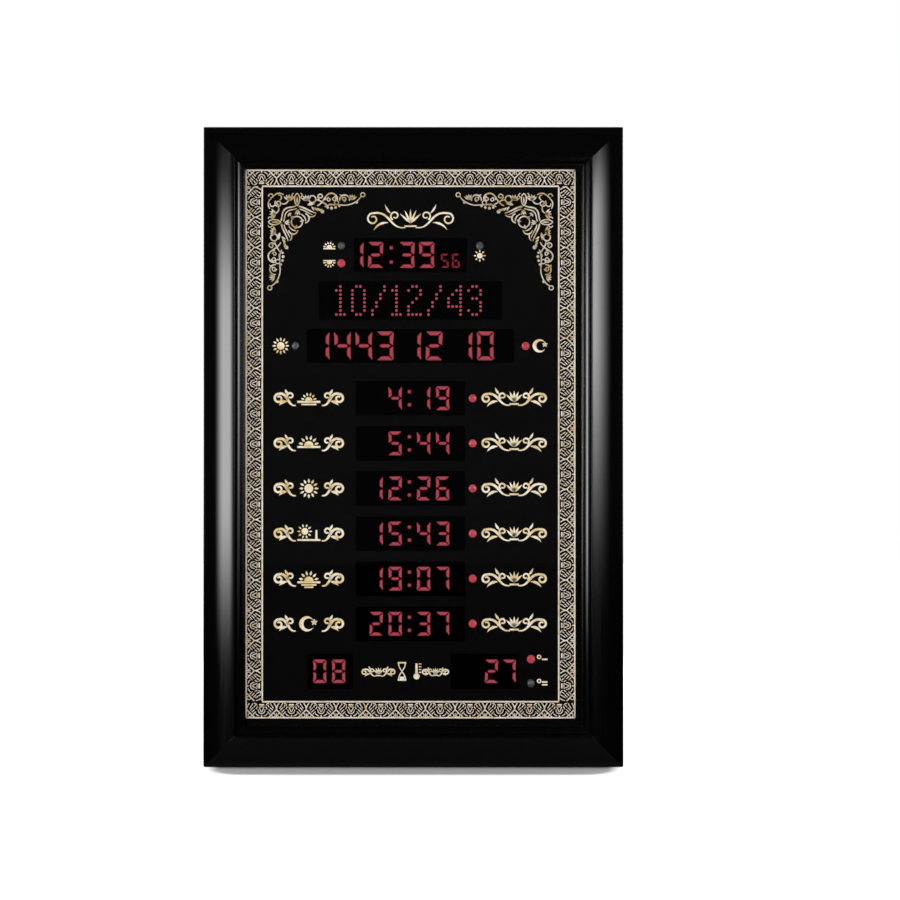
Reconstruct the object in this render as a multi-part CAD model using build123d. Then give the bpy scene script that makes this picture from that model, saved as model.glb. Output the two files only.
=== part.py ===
from build123d import *
from math import asin, cos, degrees, pi
import os

# Wall clock for prayer times: a mitred moulding round a printed acrylic panel, with LED
# displays behind its windows and the electronics on the back panel.
#
# Millimetres. +Z is up, the front faces -Y, and +X is to the viewer's right. The origin is
# midway between the entry holes of the two hanging keyholes, on the plane of the frame's back.
# A depth called v is measured forward from that plane, so y = -v. Positions on the printed
# panel are measured from the centre of its print.

# ---------------------------------------------------------------- frame moulding
frame_width = 420.0
frame_height = 640.0
rail_width = 42.0
rail_depth = 44.0
corner_radius = 1.8

# The section, with u measured inwards from the outer edge.
outer_wall = 20.0           # v where the crown springs from the outer wall
crown_end = 32.0            # u of the crown's crest, where it drops into the groove
groove_floor = 36.0
groove_width = 2.5
bead_width = 3.4
bead_rise = 2.2
step_floor = 32.6           # v of the flat between the bead and the sight edge
sight_bead_width = 2.4
sight_bead_rise = 1.1
rebate_land = 34.0          # u of the rebate's side wall
rebate_depth = 29.0         # v of the shoulder that the panel rests on

nail_inset = 20.0           # from each outer edge to the nail's corner, on the mitre
nail_leg = 6.0
nail_thickness = 0.6
nail_depth = 10.0

# ---------------------------------------------------------------- hanging hardware
hanger_inset = 20.0         # from the frame's top edge down to the keyholes' entry holes
hanger_spacing = 300.0
plate_length = 50.0
plate_height = 23.0
plate_thickness = 1.2
plate_rise = 3.5            # of the plate's centre above the entry hole
keyhole_entry_radius = 4.75
keyhole_neck_width = 4.8
keyhole_drop = 8.0          # from the entry's centre up to the neck's end centre
pocket_width = 12.0
pocket_depth = 8.0

bumper_side = 12.0
bumper_height = 4.5
bumper_inset = 14.0
bumper_taper = 1.0

# ---------------------------------------------------------------- panel stack
panel_thickness = 3.0
panel_clearance = 1.0       # all round, between the panel and the rebate
film_thickness = 0.3
filter_thickness = 0.5
filter_overlap = 3.0        # of each filter past its window
spacer_width = 7.0
back_thickness = 3.0
back_clearance = 0.5

print_shift_x = -2.8        # of the print's centre from the frame's centre
print_shift_z = 3.0

# ---------------------------------------------------------------- windows and digits
module_depth = 10.0
module_gap = 0.5            # between a module's face and the filter
module_overlap = 1.5        # of each module past its window
segment_rise = 0.4          # of the light bars in front of the module's face
segment_gap = 0.5           # between the mitred ends of neighbouring segments
colon_side = 2.8
colon_share = 0.28          # of the digits' height, from their middle to each dot

time_window_width = 113.0
time_window_height = 34.2
time_row = 188.8
time_digit_height = 25.4
time_digit_width = 15.0
time_digit_pitch = 19.7
time_digits_centre = -19.2  # the colon's place
time_half_pitch = 15.6      # from the colon to the digits beside it
seconds_digit_height = 13.7
seconds_digit_width = 7.6
seconds_digit_pitch = 11.0
seconds_centre = 39.7
seconds_split = 27.0        # where the seconds module starts

matrix_window_width = 183.4
matrix_window_height = 38.5
matrix_row = 143.3
matrix_side = 32.0
matrix_count = 5
matrix_seam = 0.05

date_window_width = 207.4
date_window_height = 34.0
date_row = 98.0
date_digit_height = 28.2
date_digit_width = 16.5
date_digit_pitch = 21.3
year_centre = -57.3
month_centre = 12.9
day_centre = 64.1
month_split = -10.0         # where the month module starts
day_split = 39.0

prayer_rows = 6
prayer_pitch = 45.05
prayer_top_row = 45.7
prayer_window_width = 109.4
prayer_window_height = 34.5
prayer_digit_height = 23.3
prayer_digit_width = 13.2
prayer_digit_pitch = 19.0
prayer_half_pitch = 14.2
prayer_centre = -1.1

status_row = -227.0
status_window_height = 34.8
iqamah_window_width = 45.5
iqamah_window_x = -80.2
iqamah_digits_x = -81.2
iqamah_digit_pitch = 18.8
temperature_window_width = 68.8
temperature_window_x = 74.5
temperature_digits_x = 80.9
temperature_digit_pitch = 17.6
temperature_digits = 3
status_digit_height = 23.0
status_digit_width = 13.0

# ---------------------------------------------------------------- indicator lamps
led_radius = 4.0
led_flats = 16              # narrow flats that stand for a lamp's round wall
led_tip_gap = 0.2           # between a lamp's flat top and the film
meridian_led_x = -69.2
meridian_led_rise = 8.6     # of AM and PM above and below their row
meridian_led_row = 189.3
daylight_led_x = 69.2
calendar_led_x = 115.0
prayer_led_x = 62.1
scale_led_x = 120.4
scale_led_rise = 12.0       # of C and F above and below their row

# ---------------------------------------------------------------- boards
board_thickness = 1.6
board_margin = 2.0          # past what a display board carries
time_board_half_width = 125.0
prayer_board_margin = 6.0
status_board_left = -108.0
status_board_right = 128.0
standoff_flats = 6.0
standoff_inset = 5.0
main_board_width = 70.0
main_board_height = 150.0
main_board_x = 108.0
main_board_z = -64.0
main_board_gap = 1.0        # from its sockets to the boards in front

chip_sizes = [(14.0, 14.0, 1.4), (10.3, 7.5, 2.3), (18.0, 12.0, 3.2), (12.0, 12.0, 7.0)]
chip_row_top = 30.0
chip_row_pitch = 24.0
chip_x = -14.0
capacitor_radius = 5.0
capacitor_height = 12.5
capacitor_pitch = 14.0
cell_radius = 10.0
cell_height = 3.2
holder_floor = 1.0
holder_wall = 1.0
holder_width = 16.0
holder_strap = 5.0
holder_clearance = 0.2
cell_x = 17.0
cell_z = 34.0

socket_length = 24.0
socket_width = 6.0
socket_height = 2.5
cable_width = 20.0
cable_thickness = 0.4
cable_bow = 2.2
time_cable_x = -11.0
status_cable_x = -29.0
prayer_cable_z = 30.0
socket_inset = 6.0          # from a board's edge to its socket's centre

receiver_side = 7.0
receiver_height = 6.5
receiver_lens = 4.8
receiver_lens_rise = 2.0
receiver_x = 44.5
sensor_radius = 2.4
sensor_length = 5.0
sensor_x = -60.0
sensor_drop = 9.0           # below the status row

# ---------------------------------------------------------------- speaker
speaker_x = -112.0
speaker_z = -60.0
speaker_side = 66.0
basket_sheet = 1.2
basket_mouth = 29.0
basket_depth = 11.7
gap_radius = 10.2           # of the magnet gap's outer wall
pole_radius = 8.3
magnet_radius = 16.0
magnet_height = 7.8
yoke_thickness = 2.0
coil_radius = 9.5
coil_wall = 0.5
coil_length = 6.4
cone_radius = 23.5
cone_depth = 5.6
cone_paper = 0.5
speaker_flats = 32          # narrow flats that stand for the speaker's round walls
cone_stand = 2.6            # of the cone's rim in front of the back panel

grille_radius = 25.0
grille_slot = 3.0
grille_pitch = 6.0
vent_length = 30.0
vent_count = 4

# ---------------------------------------------------------------- power inlet
cup_x = 108.0
cup_top = -153.0
cup_width = 35.0
cup_height = 50.0
cup_depth = 21.5
cup_wall = 1.5
cup_ramp = 22.0             # height of the sloping floor where the lead leaves
cup_flange = 5.0
cup_flange_thickness = 1.2
cup_clearance = 0.3
jack_side = 10.5
jack_length = 12.5
jack_flange_side = 14.0
jack_flange_thickness = 1.5
jack_bore_radius = 2.85
jack_bore_depth = 9.5
jack_pin_radius = 1.0
jack_pin_length = 9.0
jack_pin_seat = 2.5
jack_clearance = 0.1
jack_floor_gap = 1.0        # from the jack's flange to the cup's floor

lead_width = 2.6
lead_thickness = 1.2
lead_run_z = -90.0
lead_lift = 0.6             # of the lead's middle off the back panel
lead_slope = 4.0
lead_landing = 20.0
lead_straight = 0.8         # out of the jack, before the inlet's lead bends
lead_clearance = 0.6        # from the inlet's lead's bend to the main board's edge

# ---------------------------------------------------------------- fasteners
turn_button_length = 30.0
turn_button_width = 11.0
turn_button_thickness = 1.2
turn_button_clip = 0.25     # of the width, cut off each corner
turn_button_margin = 6.0    # from the pivot to the rebate's wall
turn_button_gap = 0.1
turn_button_reach = 170.0   # of the side buttons above and below the frame's centre
pivot_shank_radius = 1.75
pivot_clearance = 0.05
pivot_head_radius = 3.6
pivot_head_height = 1.9
pivot_length = 15.0

# ---------------------------------------------------------------- derived places
pivot_end = pivot_length - turn_button_thickness - 2 * turn_button_gap
centre_z = hanger_inset - frame_height / 2
print_x = print_shift_x
print_z = centre_z + print_shift_z
rebate_width = frame_width - 2 * rebate_land
rebate_height = frame_height - 2 * rebate_land

panel_back = rebate_depth - panel_thickness
film_back = panel_back - film_thickness
filter_back = film_back - filter_thickness
module_face = filter_back - module_gap
module_back = module_face - module_depth
board_back = module_back - board_thickness
main_board_face = board_back - main_board_gap - socket_height
main_board_back = main_board_face - board_thickness

prayer_row_z = [prayer_top_row - prayer_pitch * row for row in range(prayer_rows)]
prayer_board_half_height = prayer_window_height / 2 + board_margin
time_board_top = time_row + time_window_height / 2 + board_margin
time_board_bottom = date_row - date_window_height / 2 - board_margin
prayer_board_left = -prayer_window_width / 2 - prayer_board_margin
prayer_board_right = prayer_led_x + prayer_board_margin
prayer_board_top = prayer_row_z[0] + prayer_board_half_height
prayer_board_bottom = prayer_row_z[-1] - prayer_board_half_height
status_board_half_height = status_window_height / 2 + board_margin
main_board_left = main_board_x - main_board_width / 2
main_board_top = main_board_z + main_board_height / 2
main_board_bottom = main_board_z - main_board_height / 2
jack_v = cup_depth - cup_wall - jack_flange_side / 2 - jack_floor_gap


# ---------------------------------------------------------------- shared forms
def slab(width, height, v_back, v_front, x=0.0, z=0.0):
    """A rectangular plate facing the viewer, between two depths."""
    return Pos(x, -(v_back + v_front) / 2, z) * Box(width, v_front - v_back, height)


def post(radius, v_back, v_front, x=0.0, z=0.0):
    """A cylinder whose axis runs from back to front."""
    middle = Pos(x, -(v_back + v_front) / 2, z)
    return middle * Rot(90, 0, 0) * Cylinder(radius, v_front - v_back)


def plate(sketch, v_back, v_front, x=0.0, z=0.0):
    """A sketch drawn as the viewer sees it, given a thickness between two depths."""
    seen_from_front = Plane(origin=(x, -v_back, z), x_dir=(1, 0, 0), z_dir=(0, -1, 0))
    return extrude(seen_from_front * sketch, v_front - v_back, dir=(0, -1, 0))


def upright_profile(sketch, width, x, z):
    """A profile drawn as (height, v), given a width to the right of x."""
    side = Plane(origin=(x, 0, z), x_dir=(0, 0, 1), z_dir=(1, 0, 0))
    return extrude(side * sketch, width, dir=(1, 0, 0))


def level_profile(sketch, height, x, z):
    """A profile drawn as (x, v), given a height below z."""
    side = Plane(origin=(x, 0, z), x_dir=(1, 0, 0), z_dir=(0, 0, -1))
    return extrude(side * sketch, height, dir=(0, 0, -1))


def strip_profile(line, thickness):
    """The edge-on profile of a flat strip that follows a line of (place, v) points."""
    upper = [(place, v + thickness / 2) for place, v in line]
    lower = [(place, v - thickness / 2) for place, v in reversed(line)]
    return Polygon(*upper, *lower, align=None)


def group(shapes):
    """Separate solids that share one node."""
    return Compound([solid for shape in shapes for solid in shape.solids()])


def spread(count, pitch, centre=0.0):
    """Places of a row of equal pieces about its centre."""
    return [centre + pitch * (index - (count - 1) / 2) for index in range(count)]


# ---------------------------------------------------------------- frame
def moulding_section():
    """The moulding's section, with its outer edge on x = 0 and its back on y = 0."""
    crown_rise = rail_depth - outer_wall
    crown_radius = (crown_end ** 2 + crown_rise ** 2) / (2 * crown_rise)
    crown_angle = degrees(asin(crown_end / crown_radius))
    crown = CenterArc(
        (crown_end, crown_radius - rail_depth), crown_radius, 270 - crown_angle, crown_angle)
    bead_start = crown_end + groove_width
    bead_end = bead_start + bead_width
    sight_bead_start = rail_width - sight_bead_width
    bead = ThreePointArc(
        (bead_start, -groove_floor),
        (bead_start + bead_width / 2, -groove_floor - bead_rise),
        (bead_end, -groove_floor))
    sight_bead = ThreePointArc(
        (sight_bead_start, -step_floor),
        (sight_bead_start + sight_bead_width / 2, -step_floor - sight_bead_rise),
        (rail_width, -step_floor))
    groove = Polyline(crown @ 1, (crown_end, -groove_floor), bead @ 0)
    step = Polyline(bead @ 1, (bead_end, -step_floor), sight_bead @ 0)
    rebate = Polyline(
        sight_bead @ 1,
        (rail_width, -rebate_depth),
        (rebate_land, -rebate_depth),
        (rebate_land, 0),
        (0, 0),
        crown @ 0)
    return make_face([crown, groove, bead, step, sight_bead, rebate])


def mitred_rail(length, half_span, turn):
    """One side of the frame, made as the left one and turned into its place about Y."""
    bar = extrude(moulding_section(), length, dir=(0, 0, 1))
    bar = Pos(-half_span, 0, -length / 2) * bar
    half = length / 2
    between_mitres = Polygon(
        (-half_span, -half),
        (-half_span + rail_width, rail_width - half),
        (-half_span + rail_width, half - rail_width),
        (-half_span, half),
        align=None)
    rail = bar & plate(between_mitres, 0, rail_depth)
    outline = RectangleRounded(frame_width, frame_height, corner_radius)
    return Pos(0, 0, centre_z) * (Rot(0, turn, 0) * rail & plate(outline, 0, rail_depth))


def corner_v_nails():
    """A folded steel nail across the back of each mitre, one leg in each rail."""
    nails = []
    for side in (-1, 1):
        for end in (-1, 1):
            x = side * (frame_width / 2 - nail_inset)
            z = centre_z + end * (frame_height / 2 - nail_inset)
            reach = (nail_leg - nail_thickness) / 2
            across = slab(nail_leg, nail_thickness, 0, nail_depth, x - side * reach, z)
            along = slab(nail_thickness, nail_leg, 0, nail_depth, x, z - end * reach)
            nails.append(across + along)
    return group(nails)


def turn_button_places():
    """Pivot x, pivot z and the turn that points the lever at the back panel's middle."""
    side = frame_width / 2 - rebate_land + turn_button_margin
    heights = (centre_z + turn_button_reach, centre_z - turn_button_reach)
    return [(x, z, turn) for x, turn in ((-side, 0), (side, 180)) for z in heights]


def turn_button(x, z, turn):
    """A flat steel lever that turns on its screw and holds the back panel in."""
    reach = turn_button_length / 2 - turn_button_width / 2
    lever = Rectangle(turn_button_length, turn_button_width)
    lever = Pos(reach, 0) * chamfer(lever.vertices(), turn_button_width * turn_button_clip)
    lever -= Circle(pivot_shank_radius + pivot_clearance)
    lever = plate(lever, -turn_button_gap - turn_button_thickness, -turn_button_gap)
    return Pos(x, 0, z) * Rot(0, turn, 0) * lever


def turn_button_screw(x, z):
    """A pan-head wood screw, with room for the lever to turn under its head."""
    seat = pivot_end - pivot_length
    head = post(pivot_head_radius, seat - pivot_head_height, seat, x, z)
    return head + post(pivot_shank_radius, seat, pivot_end, x, z)


def keyhole_xs():
    return spread(2, hanger_spacing)


def keyhole_plates():
    """Two steel plates, each with a round entry and a neck above it."""
    neck = Pos(0, keyhole_drop / 2) * SlotCenterToCenter(keyhole_drop, keyhole_neck_width, 90)
    outline = Pos(0, plate_rise) * Rectangle(plate_length, plate_height)
    outline -= Circle(keyhole_entry_radius) + neck
    return group([plate(outline, -plate_thickness, 0, x) for x in keyhole_xs()])


def hanger_pocket(x):
    """Room behind a keyhole for the head of the wall screw."""
    slot = Pos(0, keyhole_drop / 2) * SlotCenterToCenter(keyhole_drop, pocket_width, 90)
    return plate(slot, 0, pocket_depth, x)


def frame_rails():
    """Both stiles and both rails, bored and routed for what is fixed to their backs."""
    rails = {
        "left_stile": mitred_rail(frame_height, frame_width / 2, 0),
        "right_stile": mitred_rail(frame_height, frame_width / 2, 180),
        "top_rail": mitred_rail(frame_width, frame_height / 2, 90),
        "bottom_rail": mitred_rail(frame_width, frame_height / 2, -90),
    }
    for x, z, turn in turn_button_places():
        stile = "left_stile" if turn == 0 else "right_stile"
        rails[stile] -= post(pivot_shank_radius + pivot_clearance, 0, pivot_end, x, z)
    for x in keyhole_xs():
        rails["top_rail"] -= hanger_pocket(x)
    nails = corner_v_nails()
    return {name: rail - nails for name, rail in rails.items()}


def wall_bumpers():
    """A soft tapered pad near each corner keeps the clock off the wall."""
    bumpers = []
    for side in (-1, 1):
        for end in (-1, 1):
            x = side * (frame_width / 2 - bumper_inset)
            z = centre_z + end * (frame_height / 2 - bumper_inset)
            pad = slab(bumper_side, bumper_side, -bumper_height, 0, x, z)
            rim = pad.faces().sort_by(Axis.Y)[-1].edges()
            bumpers.append(chamfer(rim, bumper_taper))
    return group(bumpers)


# ---------------------------------------------------------------- panel stack
def windows():
    """Width, height, x and z of every clear window in the print."""
    places = [
        (time_window_width, time_window_height, 0, time_row),
        (matrix_window_width, matrix_window_height, 0, matrix_row),
        (date_window_width, date_window_height, 0, date_row),
    ]
    for z in prayer_row_z:
        places.append((prayer_window_width, prayer_window_height, 0, z))
    places.append((iqamah_window_width, status_window_height, iqamah_window_x, status_row))
    places.append(
        (temperature_window_width, status_window_height, temperature_window_x, status_row))
    return places


def led_places():
    """Where an indicator lamp shows through the print."""
    places = [(meridian_led_x, meridian_led_row + rise)
              for rise in (meridian_led_rise, -meridian_led_rise)]
    places.append((daylight_led_x, meridian_led_row + meridian_led_rise))
    places += [(side * calendar_led_x, date_row) for side in (-1, 1)]
    places += [(prayer_led_x, z) for z in prayer_row_z]
    places += [(scale_led_x, status_row + rise) for rise in (scale_led_rise, -scale_led_rise)]
    return places


def front_panel():
    width = rebate_width - 2 * panel_clearance
    height = rebate_height - 2 * panel_clearance
    return slab(width, height, panel_back, rebate_depth, 0, centre_z)


def face_film():
    """The printed film on the panel's back, cut out at the windows and clear at the lamps."""
    film = Rectangle(rebate_width - 2 * panel_clearance, rebate_height - 2 * panel_clearance)
    for width, height, x, z in windows():
        film -= Pos(print_shift_x + x, print_shift_z + z) * Rectangle(width, height)
    return plate(film, film_back, panel_back, 0, centre_z)


def window_filters():
    """A smoked filter behind each window."""
    panes = []
    for width, height, x, z in windows():
        pane_width = width + 2 * filter_overlap
        pane_height = height + 2 * filter_overlap
        panes.append(
            slab(pane_width, pane_height, filter_back, film_back, print_x + x, print_z + z))
    return group(panes)


def spacer_strips():
    """Four strips in the rebate keep the back panel and the front panel apart."""
    strips = []
    for side in (-1, 1):
        x = side * (rebate_width - spacer_width) / 2
        strips.append(
            slab(spacer_width, rebate_height, back_thickness, film_back, x, centre_z))
        z = centre_z + side * (rebate_height - spacer_width) / 2
        length = rebate_width - 2 * spacer_width
        strips.append(slab(length, spacer_width, back_thickness, film_back, 0, z))
    return group(strips)


def back_panel():
    """Hardboard back with the speaker's slotted grille, vents and the inlet's opening."""
    back = Rectangle(rebate_width - 2 * back_clearance, rebate_height - 2 * back_clearance)
    shift = Pos(print_shift_x, print_shift_z)
    slots = int(2 * grille_radius / grille_pitch)
    for x in spread(slots, grille_pitch):
        length = 2 * (grille_radius ** 2 - x ** 2) ** 0.5
        back -= shift * Pos(speaker_x + x, speaker_z) * Rectangle(grille_slot, length)
    for x in spread(vent_count, grille_pitch, sensor_x):
        back -= shift * Pos(x, status_row) * Rectangle(grille_slot, vent_length)
    cup = Rectangle(cup_width + 2 * cup_clearance, cup_height + 2 * cup_clearance)
    back -= shift * Pos(cup_x, cup_top - cup_height / 2) * cup
    return plate(back, 0, back_thickness, 0, centre_z)


# ---------------------------------------------------------------- displays
def segment_outlines(height, width):
    """The seven bars of one digit, with mitred ends, as a list from a to g."""
    stroke = height / 8
    right, top = width / 2, height / 2
    gap = segment_gap / 2 ** 0.5
    bar_a = [(gap - right, top), (right - gap, top),
             (right - stroke - gap, top - stroke), (stroke + gap - right, top - stroke)]
    bar_b = [(right, top - gap), (right, gap / 2),
             (right - stroke, stroke / 2 + gap), (right - stroke, top - stroke - gap)]
    bar_g = [(right - stroke / 2 - gap, 0), (right - stroke - gap, stroke / 2),
             (stroke + gap - right, stroke / 2), (stroke / 2 + gap - right, 0),
             (stroke + gap - right, -stroke / 2), (right - stroke - gap, -stroke / 2)]
    bar_c = [(x, -y) for x, y in bar_b]
    bar_d = [(x, -y) for x, y in bar_a]
    bar_e = [(-x, -y) for x, y in bar_b]
    bar_f = [(-x, y) for x, y in bar_b]
    return [bar_a, bar_b, bar_c, bar_d, bar_e, bar_f, bar_g]


def digit(height, width, x, z, bars="abcdefg"):
    """The cast light bars of one digit, on the face of its module."""
    pieces = []
    for name, outline in zip("abcdefg", segment_outlines(height, width)):
        if name in bars:
            bar = Polygon(*outline, align=None)
            pieces.append(plate(bar, module_face, module_face + segment_rise, x, z))
    return pieces


def colon(height, x, z):
    """The two dots between hours and minutes."""
    return [slab(colon_side, colon_side, module_face, module_face + segment_rise, x, z + rise)
            for rise in (height * colon_share, -height * colon_share)]


def module(left, right, height, z):
    """A black module body between two edges measured on the print."""
    return slab(right - left, height, module_back, module_face,
                print_x + (left + right) / 2, print_z + z)


def clock_digits():
    """Hours and minutes of a twelve-hour display: its first digit is only ever a one."""
    height, width = time_digit_height, time_digit_width
    z = print_z + time_row
    inner = time_half_pitch
    outer = time_half_pitch + time_digit_pitch
    centre = print_x + time_digits_centre
    bars = digit(height, width, centre - outer, z, "bc")
    for x in (centre - inner, centre + inner, centre + outer):
        bars += digit(height, width, x, z)
    return bars + colon(height, centre, z)


def seconds_digits():
    """Small digits that stand on the same line as the large ones."""
    z = print_z + time_row - (time_digit_height - seconds_digit_height) / 2
    bars = []
    for x in spread(2, seconds_digit_pitch, print_x + seconds_centre):
        bars += digit(seconds_digit_height, seconds_digit_width, x, z)
    return bars


def date_digits(count, centre):
    bars = []
    for x in spread(count, date_digit_pitch, print_x + centre):
        bars += digit(date_digit_height, date_digit_width, x, print_z + date_row)
    return bars


def prayer_digits(row_z):
    """Hours and minutes of one prayer."""
    height, width = prayer_digit_height, prayer_digit_width
    z = print_z + row_z
    centre = print_x + prayer_centre
    outer = prayer_half_pitch + prayer_digit_pitch
    bars = colon(height, centre, z)
    for reach in (-outer, -prayer_half_pitch, prayer_half_pitch, outer):
        bars += digit(height, width, centre + reach, z)
    return bars


def status_digits(count, pitch, centre):
    bars = []
    for x in spread(count, pitch, print_x + centre):
        bars += digit(status_digit_height, status_digit_width, x, print_z + status_row)
    return bars


def display_nodes():
    """Every digit module and the light bars cast into it."""
    clock, seconds = clock_digits(), seconds_digits()
    year, month, day = (date_digits(4, year_centre), date_digits(2, month_centre),
                        date_digits(2, day_centre))
    iqamah = status_digits(2, iqamah_digit_pitch, iqamah_digits_x)
    temperature = status_digits(
        temperature_digits, temperature_digit_pitch, temperature_digits_x)
    time_edge = time_window_width / 2 + module_overlap
    time_height = time_window_height + 2 * module_overlap
    date_edge = date_window_width / 2 + module_overlap
    date_height = date_window_height + 2 * module_overlap
    status_height = status_window_height + 2 * module_overlap
    iqamah_half = iqamah_window_width / 2 + module_overlap
    temperature_right = temperature_window_x + temperature_window_width / 2 + module_overlap
    temperature_left = (temperature_digits_x - status_digit_width
                        - temperature_digit_pitch * (temperature_digits - 1) / 2)
    nodes = {
        "clock_display": module(-time_edge, seconds_split, time_height, time_row),
        "seconds_display": module(seconds_split, time_edge, time_height, time_row),
        "year_display": module(-date_edge, month_split, date_height, date_row),
        "month_display": module(month_split, day_split, date_height, date_row),
        "day_display": module(day_split, date_edge, date_height, date_row),
        "iqamah_display": module(
            iqamah_window_x - iqamah_half, iqamah_window_x + iqamah_half,
            status_height, status_row),
        "temperature_display": module(
            temperature_left, temperature_right, status_height, status_row),
    }
    prayer_edge = prayer_window_width / 2 + module_overlap
    prayer_height = prayer_window_height + 2 * module_overlap
    prayer_bars = []
    for row, z in enumerate(prayer_row_z, start=1):
        nodes[f"prayer_display_{row}"] = module(-prayer_edge, prayer_edge, prayer_height, z)
        prayer_bars += prayer_digits(z)
    nodes["time_segments"] = group(clock + seconds + year + month + day)
    nodes["prayer_segments"] = group(prayer_bars)
    nodes["status_segments"] = group(iqamah + temperature)
    return nodes


def matrix_modules():
    """Square dot-matrix modules side by side."""
    side = matrix_side - matrix_seam
    return group([slab(side, side, module_back, module_face, x, print_z + matrix_row)
                  for x in spread(matrix_count, matrix_side, print_x)])


def indicator_leds():
    """Flat-topped lamps that stand on the display boards, close behind the film."""
    wall = RegularPolygon(led_radius, led_flats)
    top = film_back - led_tip_gap
    return group([plate(wall, module_back, top, print_x + x, print_z + z)
                  for x, z in led_places()])


# ---------------------------------------------------------------- boards
def display_boards():
    """Left, right, bottom and top edge of each display board."""
    return {
        "time_board": (-time_board_half_width, time_board_half_width,
                       time_board_bottom, time_board_top),
        "prayer_board": (prayer_board_left, prayer_board_right,
                         prayer_board_bottom, prayer_board_top),
        "status_board": (status_board_left, status_board_right,
                         status_row - status_board_half_height,
                         status_row + status_board_half_height),
    }


def board(edges, v_back):
    left, right, bottom, top = edges
    return slab(right - left, top - bottom, v_back, v_back + board_thickness,
                print_x + (left + right) / 2, print_z + (bottom + top) / 2)


def main_board_edges():
    return (main_board_left, main_board_left + main_board_width,
            main_board_bottom, main_board_top)


def board_standoffs():
    """Hexagonal pillars on the back panel, one under each corner of each board."""
    pillar = RegularPolygon(standoff_flats / 2, 6, major_radius=False)
    boards = [(edges, board_back) for edges in display_boards().values()]
    boards.append((main_board_edges(), main_board_back))
    pillars = []
    for (left, right, bottom, top), seat in boards:
        for x in (left + standoff_inset, right - standoff_inset):
            for z in (bottom + standoff_inset, top - standoff_inset):
                pillars.append(plate(pillar, back_thickness, seat, print_x + x, print_z + z))
    return group(pillars)


def on_main_board(x, z):
    """A place on the main board, measured from its centre."""
    return print_x + main_board_x + x, print_z + main_board_z + z


def main_board_chips():
    """Controller, sound chip, amplifier and choke in a column."""
    chips = []
    for index, (width, height, thickness) in enumerate(chip_sizes):
        x, z = on_main_board(chip_x, chip_row_top - chip_row_pitch * index)
        chips.append(slab(width, height, main_board_face, main_board_face + thickness, x, z))
    return group(chips)


def power_capacitors():
    """Two electrolytic cans beside the supply."""
    cans = []
    for step in spread(2, capacitor_pitch):
        x, z = on_main_board(-chip_x, step - capacitor_pitch)
        top = main_board_face + capacitor_height
        cans.append(post(capacitor_radius, main_board_face, top, x, z))
    return group(cans)


def battery_holder():
    """A holder with a floor under the cell, an end stop at each side and a strap across."""
    x, z = on_main_board(cell_x, cell_z)
    floor = main_board_face + holder_floor
    top = floor + cell_height + holder_clearance
    length = 2 * (cell_radius + holder_clearance + holder_wall)
    holder = slab(length, holder_width, main_board_face, floor, x, z)
    holder += slab(length, holder_strap, top, top + holder_wall, x, z)
    for side in (-1, 1):
        stop_x = x + side * (length - holder_wall) / 2
        holder += slab(holder_wall, holder_strap, main_board_face, top + holder_wall, stop_x, z)
    return holder


def coin_cell():
    x, z = on_main_board(cell_x, cell_z)
    floor = main_board_face + holder_floor
    return post(cell_radius, floor, floor + cell_height, x, z)


def cable_ends():
    """Both socket centres of each flat cable, measured on the print, and its direction."""
    main_top = main_board_top - socket_inset
    main_bottom = main_board_bottom + socket_inset
    main_side = main_board_left + socket_inset
    time_x = main_board_x + time_cable_x
    status_x = main_board_x + status_cable_x
    prayer_z = main_board_z + prayer_cable_z
    status_top = status_row + status_board_half_height
    return [
        ((time_x, main_top), (time_x, time_board_bottom + socket_inset)),
        ((status_x, main_bottom), (status_x, status_top - socket_inset)),
        ((main_side, prayer_z), (prayer_board_right - socket_inset, prayer_z)),
    ]


def cable_sockets():
    """A low socket at each end of each flat cable."""
    sockets = []
    for (x_0, z_0), (x_1, z_1) in cable_ends():
        upright = z_0 == z_1
        size = (socket_width, socket_length) if upright else (socket_length, socket_width)
        sockets.append(slab(*size, main_board_face, main_board_face + socket_height,
                            print_x + x_0, print_z + z_0))
        sockets.append(slab(*size, board_back - socket_height, board_back,
                            print_x + x_1, print_z + z_1))
    return group(sockets)


def flat_cables():
    """Flat cables that bow a little between the main board and the display boards."""
    cables = []
    v_0 = main_board_face + socket_height / 2
    v_1 = board_back - socket_height / 2
    for (x_0, z_0), (x_1, z_1) in cable_ends():
        across = z_0 == z_1
        start, end = (x_0, x_1) if across else (z_0, z_1)
        way = 1 if end > start else -1
        start += way * socket_width / 2
        end -= way * socket_width / 2
        run = end - start
        line = [(start, v_0), (start + run / 4, v_0), (start + run / 2, v_0 - cable_bow),
                (end - run / 4, v_1), (end, v_1)]
        strip = strip_profile(line, cable_thickness)
        if across:
            top = print_z + z_0 + cable_width / 2
            cables.append(level_profile(strip, cable_width, print_x, top))
        else:
            left = print_x + x_0 - cable_width / 2
            cables.append(upright_profile(strip, cable_width, left, print_z))
    return group(cables)


def ir_receiver():
    """The remote control's receiver looks out through the temperature window."""
    x, z = print_x + receiver_x, print_z + status_row
    top = module_back + receiver_height
    body = slab(receiver_side, receiver_side, module_back, top, x, z)
    lens = slab(receiver_lens, receiver_lens, top, top + receiver_lens_rise, x, z)
    return body + chamfer(lens.faces().sort_by(Axis.Y)[0].edges(), receiver_lens_rise / 2)


def temperature_sensor():
    """A small transistor-shaped sensor on the back of its board, at the vents."""
    x, z = print_x + sensor_x, print_z + status_row - sensor_drop
    body = post(sensor_radius, board_back - sensor_length, board_back, x, z)
    flat = slab(2 * sensor_radius, sensor_radius, board_back - sensor_length, board_back,
                x, z - sensor_radius)
    return body - flat


# ---------------------------------------------------------------- speaker
def speaker_place():
    return print_x + speaker_x, print_z + speaker_z


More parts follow.
